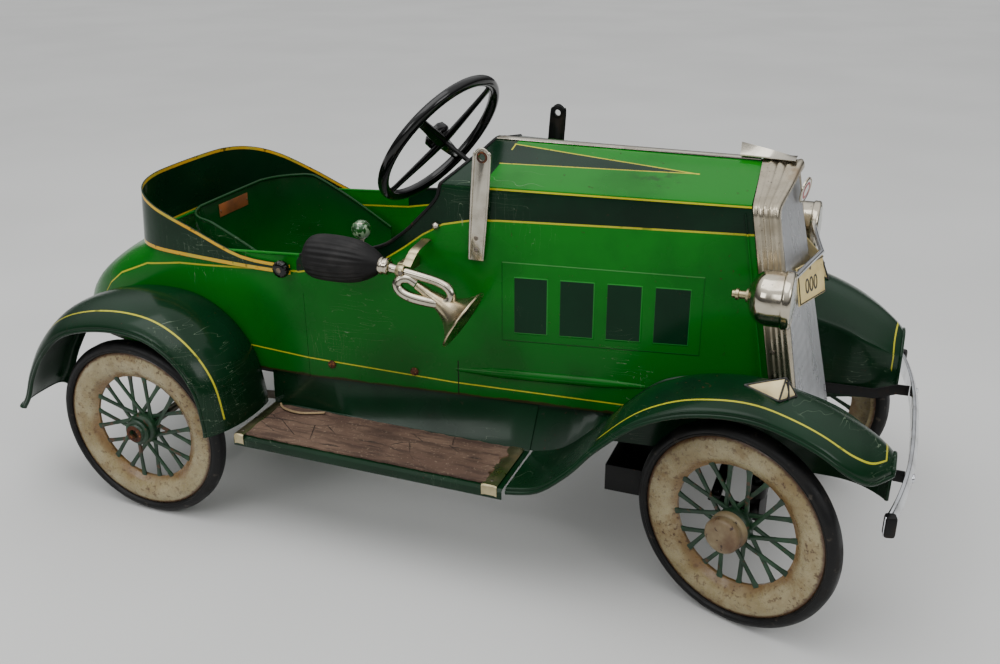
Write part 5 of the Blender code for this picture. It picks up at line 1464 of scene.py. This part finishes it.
def dress_cockpit():
    tilt = Matrix.Translation(HOME @ STEER_HUB) @ Matrix.Rotation(math.radians(34 - 90), 4,
        "Y") @ Matrix.Rotation(REST_STEER, 4, "Z")
    facing = tilt.to_3x3().inverted() @ Vector((-0.799, 0.172, 0.577)).normalized()
    lean = Matrix.Translation((0, 0, -0.0022)) @ tilt @ Vector((0, 0, 1)).rotation_difference(
        facing).to_matrix().to_4x4()
    bent = lean @ Matrix.Rotation(math.radians(90), 4, "X")
    stand = tilt @ Matrix.Rotation(math.radians(90), 4, "X")
    tube = 0.0070
    ring = [(STEER_WHEEL_R + tube * math.cos(t), tube * math.sin(t))
        for t in [2 * math.pi * k / 20 for k in range(20)]]
    turned("steering_ring", ring, 128, bent, GLOSS, "steering_wheel", stands=True, angle=80)
    for number, degrees in enumerate((45, 135, 225, 315)):
        turn = lean @ Matrix.Rotation(math.radians(degrees), 4, "Z")
        rows = []
        for r, half, low, high in ((0.004, 0.0090, -0.0092, -0.0012), (0.018, 0.0082, -0.0086, -0.0008),
            (0.040, 0.0074, -0.0072, -0.0002), (0.062, 0.0064, -0.0054, 0.0006),
            (0.082, 0.0060, -0.0040, 0.0014), (0.090, 0.0072, -0.0030, 0.0022),
            (0.0955, 0.0080, -0.0025, 0.0024)):
            rows.append([(r, half * math.cos(t), (low + high) / 2 + (high - low) / 2 * math.sin(t))
                for t in [2 * math.pi * k / 20 for k in range(20)]])
        bm = bmesh.new()
        verts = [[bm.verts.new(turn @ Vector(p)) for p in row] for row in rows]
        for a, b in zip(verts, verts[1:]):
            for k in range(20):
                n = (k + 1) % 20
                bm.faces.new((a[k], a[n], b[n], b[k]))
        bm.faces.new(verts[0])
        bm.faces.new(verts[-1])
        bmesh.ops.recalc_face_normals(bm, faces=bm.faces)
        mesh = bpy.data.meshes.new(f"steering_spoke_{number}")
        bm.to_mesh(mesh)
        bm.free()
        obj = bpy.data.objects.new(f"steering_spoke_{number}", mesh)
        bpy.context.scene.collection.objects.link(obj)
        settle(obj, GLOSS, "steering_wheel", stands=False, angle=50)
    boss = [(0.0, 0.012), (0.0145, 0.012), (0.0178, 0.0092), (0.0182, 0.0010), (0.0172, -0.0010),
        (0.0150, -0.0022), (0.0128, -0.0026), (0.0122, -0.0044), (0.0104, -0.0058), (0.0060, -0.0064),
        (0.0, -0.0066)]
    turned("steering_boss", boss, 56, stand, GLOSS, "steering_wheel", angle=40)
    turned("steering_nut", ((0.0, -0.0060), (0.0058, -0.0060), (0.0058, -0.0078), (0.0046, -0.0088),
        (0.0, -0.0090)), 28, stand, STEEL, "steering_wheel", angle=35)
    dress("steering_column", BLACK, 0.0002)
    dress("column_bracket", BLACK, 0.0006)
    dress("gear_lever", OLD_NICKEL, 0.0)
    ball = Matrix.Translation(HOME @ Vector((0.2545, -0.085, 0.380)))
    profile = [(0.0123 * math.sin(t), -0.0123 * math.cos(t)) for t in [math.pi * k / 24 for k in range(25)]]
    profile[0], profile[-1] = (0.0, -0.0123), (0.0, 0.0123)
    turned("gear_knob", profile, 48, ball @ Matrix.Rotation(math.radians(90), 4, "X"), MARBLE, "gear_lever",
        angle=80)
    for label, side in SIDES:
        node = f"band_knob_{label}"
        wall = half_width(0) + 0.0018 + SHEET + GAP
        seat = Matrix.Translation(HOME @ Vector((0.183, side * wall, 0.3445)))
        if side < 0:
            seat = seat @ Matrix.Rotation(math.pi, 4, "Z")
        knob = [(0.0, 0.0), (0.0062, 0.0), (0.0062, 0.0028), (0.0096, 0.0034), (0.0106, 0.0048),
            (0.0107, 0.0098), (0.0098, 0.0116), (0.0080, 0.0128), (0.0050, 0.0133), (0.0, 0.0135)]
        turned(f"{node}_grip", knob, 84, seat, GLOSS, node, stands=True, angle=40, wave=lambda t,
            y: 0.035 * math.cos(14 * t) if 0.003 < y < 0.012 else 0.0)
        turned(f"{node}_slot", ((0.0, 0.0130), (0.0034, 0.0130), (0.0034, 0.0139), (0.0026, 0.0143),
            (0.0, 0.0144)), 24, seat, STEEL, node)
        node = f"windshield_post_{label}"
        inner = half_width(0.418) + 0.0004
        dress(node, NICKEL if side < 0 else BLACK, 0.0005)
        lip = inner + 0.0034
        flank = [(0.4232, 0.379), (0.4256, 0.430), (0.4304, 0.497), (0.4330, 0.5040), (0.4380, 0.5085),
            (0.4430, 0.5085), (0.4480, 0.5040), (0.4502, 0.497), (0.4452, 0.430), (0.4402, 0.379)]
        points = spline_points([(x, side * lip, z) for x, z in flank], 4)
        wire(f"post_flange_{label}", points, 0.0014, NICKEL if side < 0 else BLACK, node)
        for number, z in enumerate((0.390, 0.404)):
            bolt(f"post_screw_{label}_{number}", (0.4320, side * (inner + 0.0030), z), (0, side, 0), 0.0027,
                STEEL, node, 0.0012, "slot")
        eye = Matrix.Translation(HOME @ Vector((0.4405, side * (inner + 0.0016), 0.499)))
        turned(f"post_eyelet_{label}",
            ((0.0042, -0.0024), (0.0062, -0.0024), (0.0068, -0.0014), (0.0068, 0.0014), (0.0062, 0.0024),
                (0.0042, 0.0024)), 36, eye, IRON if side < 0 else BLACK, node, angle=40)


def dress_horn():
    bulb = ((0.2372, 0.0040), (0.2370, 0.0110), (0.2372, 0.0175), (0.2392, 0.0222), (0.2440, 0.0252),
        (0.2520, 0.0266), (0.2640, 0.0272), (0.2780, 0.0271), (0.2920, 0.0260), (0.3050, 0.0236),
        (0.3160, 0.0196), (0.3240, 0.0152), (0.3300, 0.0110), (0.3325, 0.0086))
    axis = Matrix.Translation(HOME @ Vector((0, -HORN_Y, 0.3750))) @ Matrix.Rotation(math.radians(-90), 4, "Z")
    profile = [(0.0, 0.2376)] + [(r, x) for x, r in spline_rows(bulb)] + [(0.0, 0.3326)]
    turned("horn_bulb_rubber", profile, 192, axis, BULB, "horn_bulb", stands=True, angle=80, wave=lambda t,
        x: 0.020 * math.cos(24 * t) * min(1.0, max(0.0, (x - 0.236) / 0.02)) * min(1.0,
            max(0.0, (0.322 - x) / 0.02)))
    collar = [(0.0070, 0.3305), (0.0098, 0.3305), (0.0106, 0.3318), (0.0106, 0.3350), (0.0094, 0.3362),
        (0.0094, 0.3385), (0.0102, 0.3394), (0.0102, 0.3412), (0.0090, 0.3424), (0.0064, 0.3440),
        (0.0052, 0.3440)]
    lower = Matrix.Translation(HOME @ Vector((0, -HORN_Y, 0.3736))) @ Matrix.Rotation(math.radians(-90), 4, "Z")
    turned("horn_collar", collar, 48, lower, OLD_NICKEL, "horn", angle=40)
    loop = ((0.3330, 0, 0.3735, 0.0070), (0.3410, 0, 0.3725, 0.0064), (0.3480, 0, 0.3716, 0.0052))
    loop += ((0.3740, 0, 0.3680, 0.0051), (0.4040, 0, 0.3625, 0.0052), (0.4170, 0.001, 0.3565, 0.0054))
    loop += ((0.4210, 0.002, 0.3475, 0.0055), (0.4150, 0.003, 0.3405, 0.0058), (0.4040, 0.004, 0.3380, 0.0060))
    loop += ((0.3840, 0.006, 0.3400, 0.0062), (0.3680, 0.007, 0.3435, 0.0062), (0.3580, 0.0068, 0.3490, 0.0061))
    loop += ((0.3548, 0.0062, 0.3555, 0.0060), (0.3585, 0.0045, 0.3615, 0.0058),
        (0.3670, 0.0020, 0.3625, 0.0055), (0.3760, 0.0005, 0.3575, 0.0055))
    points = spline_points([(x, -HORN_Y - out, z) for x, out, z, _ in loop], 6)
    sizes = [p[0] for p in spline_points([(r,) * 3 for *_, r in loop], 6)]
    wire("horn_tube", points, sizes, OLD_NICKEL, "horn", stands=True, sides=6)
    flare = Vector((0.859, 0, -0.512))
    rim = HOME @ Vector((0.4335, -HORN_Y, 0.3215))
    bell = [(0.0054, -0.066), (0.0058, -0.056), (0.0068, -0.046), (0.0090, -0.036), (0.0118, -0.027),
        (0.0152, -0.0195), (0.0196, -0.0130), (0.0246, -0.0078), (0.0300, -0.0038), (0.0352, -0.0012)]
    bell += [(0.0374, -0.0006), (0.0383, 0.0006), (0.0379, 0.0018), (0.0366, 0.0020), (0.0345, 0.0004),
        (0.0292, -0.0026), (0.0238, -0.0066), (0.0188, -0.0120), (0.0144, -0.0186), (0.0106, -0.0262),
        (0.0060, -0.0300), (0.0, -0.0310)]
    aim = Matrix.Translation(rim) @ flare.to_track_quat("Y", "Z").to_matrix().to_4x4()
    turned("horn_bell_flare", [(0.0, -0.066)] + bell, 96, aim, HORN_PLATE, "horn", angle=60)
    dress("horn_bracket", BRASS, 0.0005)
    wall = half_width(0.352) + 0.0008
    clamp = [(0.3640, -HORN_Y + 0.0, 0.3764), (0.3655, -HORN_Y + 0.006, 0.3830),
        (0.3690, -HORN_Y + 0.013, 0.3925), (0.3700, -wall - 0.0080, 0.3960), (0.3705, -wall, 0.3975),
        (0.3700, -wall + 0.0036, 0.3950)]
    points = spline_points(clamp, 5)
    rows = [[(x - 0.0055, y, z), (x, y - 0.0003, z + 0.0006), (x + 0.0055, y, z)] for x, y, z in points]
    skin("horn_strap", rows, (0.365, -wall, 0.36), BRASS, "horn", depth=0.0011, smooth=50)
    ring = Matrix.Translation(HOME @ Vector((0.3580, -HORN_Y, 0.3702))) @ Matrix.Rotation(math.radians(-98), 4,
        "Z") @ Matrix.Rotation(math.radians(0), 4, "X")
    turned("horn_clamp", ((0.0052, -0.0050), (0.0072, -0.0050), (0.0078, -0.0040), (0.0078, 0.0040),
        (0.0072, 0.0050), (0.0052, 0.0050)), 40, ring, BRASS, "horn", angle=40)
    bolt("horn_clamp_screw", (0.3600, -HORN_Y - 0.0076, 0.3702), (0, -1, 0), 0.0030, STEEL, "horn", 0.0014,
        "slot")


def spline_rows(pairs):
    return [(p[0], p[1]) for p in spline_points([(x, r, 0) for x, r in pairs], 3)]


RADIATOR_NICKEL = plated("radiator_nickel", tone(186, 176, 156), 0.22, 0.7, 0.9)
HORN_PLATE = plated("horn_plate", tone(190, 176, 146), 0.2, 0.75, 0.9)
FRONT_FENDER_EDGE = trim_green("fender_edge_enamel", rust=1.0)
CAP_CREAM = plain_paint("cap_cream", tone(138, 124, 92), tone(88, 60, 34), 0.45, 0.85)
STRAW = plain_paint("loose_strip", tone(176, 150, 112), tone(136, 112, 80), 0.8, 0.1)

dress_body()
dress_trim()
dress_fenders()
dress_boards()
dress_wheels()
dress_lamps()
dress_bumper()
dress_cockpit()
dress_horn()


# ---------------------------------------------------------------- studio


def studio():
    """A pale seamless floor under a large soft light."""
    bpy.ops.mesh.primitive_plane_add(size=60, location=(0, 0, -0.0002))
    floor = bpy.context.object
    floor.name = "studio_floor"
    f = Finish("floor_grey", 0.9, shine=0.2)
    f.colour(f.mix(f.ease(f.noise(1.5, 2.0), 0.3, 0.7), tone(205, 205, 203), tone(211, 211, 209)))
    floor.data.materials.append(f.material)
    world = bpy.data.worlds.new("studio_air")
    bpy.context.scene.world = world
    world.use_nodes = True
    tree = world.node_tree
    way = tree.nodes.new("ShaderNodeTexCoord")
    split = tree.nodes.new("ShaderNodeSeparateXYZ")
    climb = tree.nodes.new("ShaderNodeMapRange")
    climb.interpolation_type = "SMOOTHSTEP"
    climb.inputs["From Min"].default_value = 0.10
    climb.inputs["From Max"].default_value = 0.85
    climb.inputs["To Min"].default_value = 0.10
    climb.inputs["To Max"].default_value = 1.28
    tree.links.new(way.outputs["Generated"], split.inputs[0])
    tree.links.new(split.outputs["Z"], climb.inputs["Value"])
    tree.links.new(climb.outputs["Result"], tree.nodes["Background"].inputs["Strength"])
    tree.nodes["Background"].inputs["Color"].default_value = (0.98, 0.99, 1.0, 1)
    for name, spot, size, power in (
        ("overhead_softbox", (-0.3, -0.6, 2.4), (2.2, 1.6), 26.0),
        ("front_softbox", (2.4, -1.2, 1.9), (1.2, 1.0), 16.0),
        ("side_softbox", (-1.3, -2.8, 1.9), (1.4, 1.0), 16.0),
    ):
        light = bpy.data.lights.new(name, "AREA")
        light.shape = "RECTANGLE"
        light.size, light.size_y = size
        light.energy = power
        lamp = bpy.data.objects.new(name, light)
        bpy.context.scene.collection.objects.link(lamp)
        lamp.location = spot
        lamp.rotation_euler = (Vector((0.0, 0, 0.25)) - Vector(spot)).to_track_quat("-Z", "Y").to_euler()


def set_camera():
    """Three-quarter view from the right and above."""
    yaw, pitch, roll = math.radians(21.39), math.radians(23.23), math.radians(-0.27)
    ahead = Vector((-math.sin(yaw) * math.cos(pitch), math.cos(yaw) * math.cos(pitch), -math.sin(pitch)))
    right = Vector((math.cos(yaw), math.sin(yaw), 0))
    up = right.cross(ahead)
    across = right * math.cos(roll) + up * math.sin(roll)
    upright = up * math.cos(roll) - right * math.sin(roll)
    turn = Matrix((across, upright, -ahead)).transposed()
    data = bpy.data.cameras.new("front_camera")
    data.lens = 36.91
    data.sensor_width = 36.0
    data.clip_start = 0.05
    camera = bpy.data.objects.new("front_camera", data)
    bpy.context.scene.collection.objects.link(camera)
    camera.matrix_world = Matrix.Translation((0.50925, -1.174, 0.7655)) @ turn.to_4x4()
    bpy.context.scene.camera = camera


studio()
set_camera()
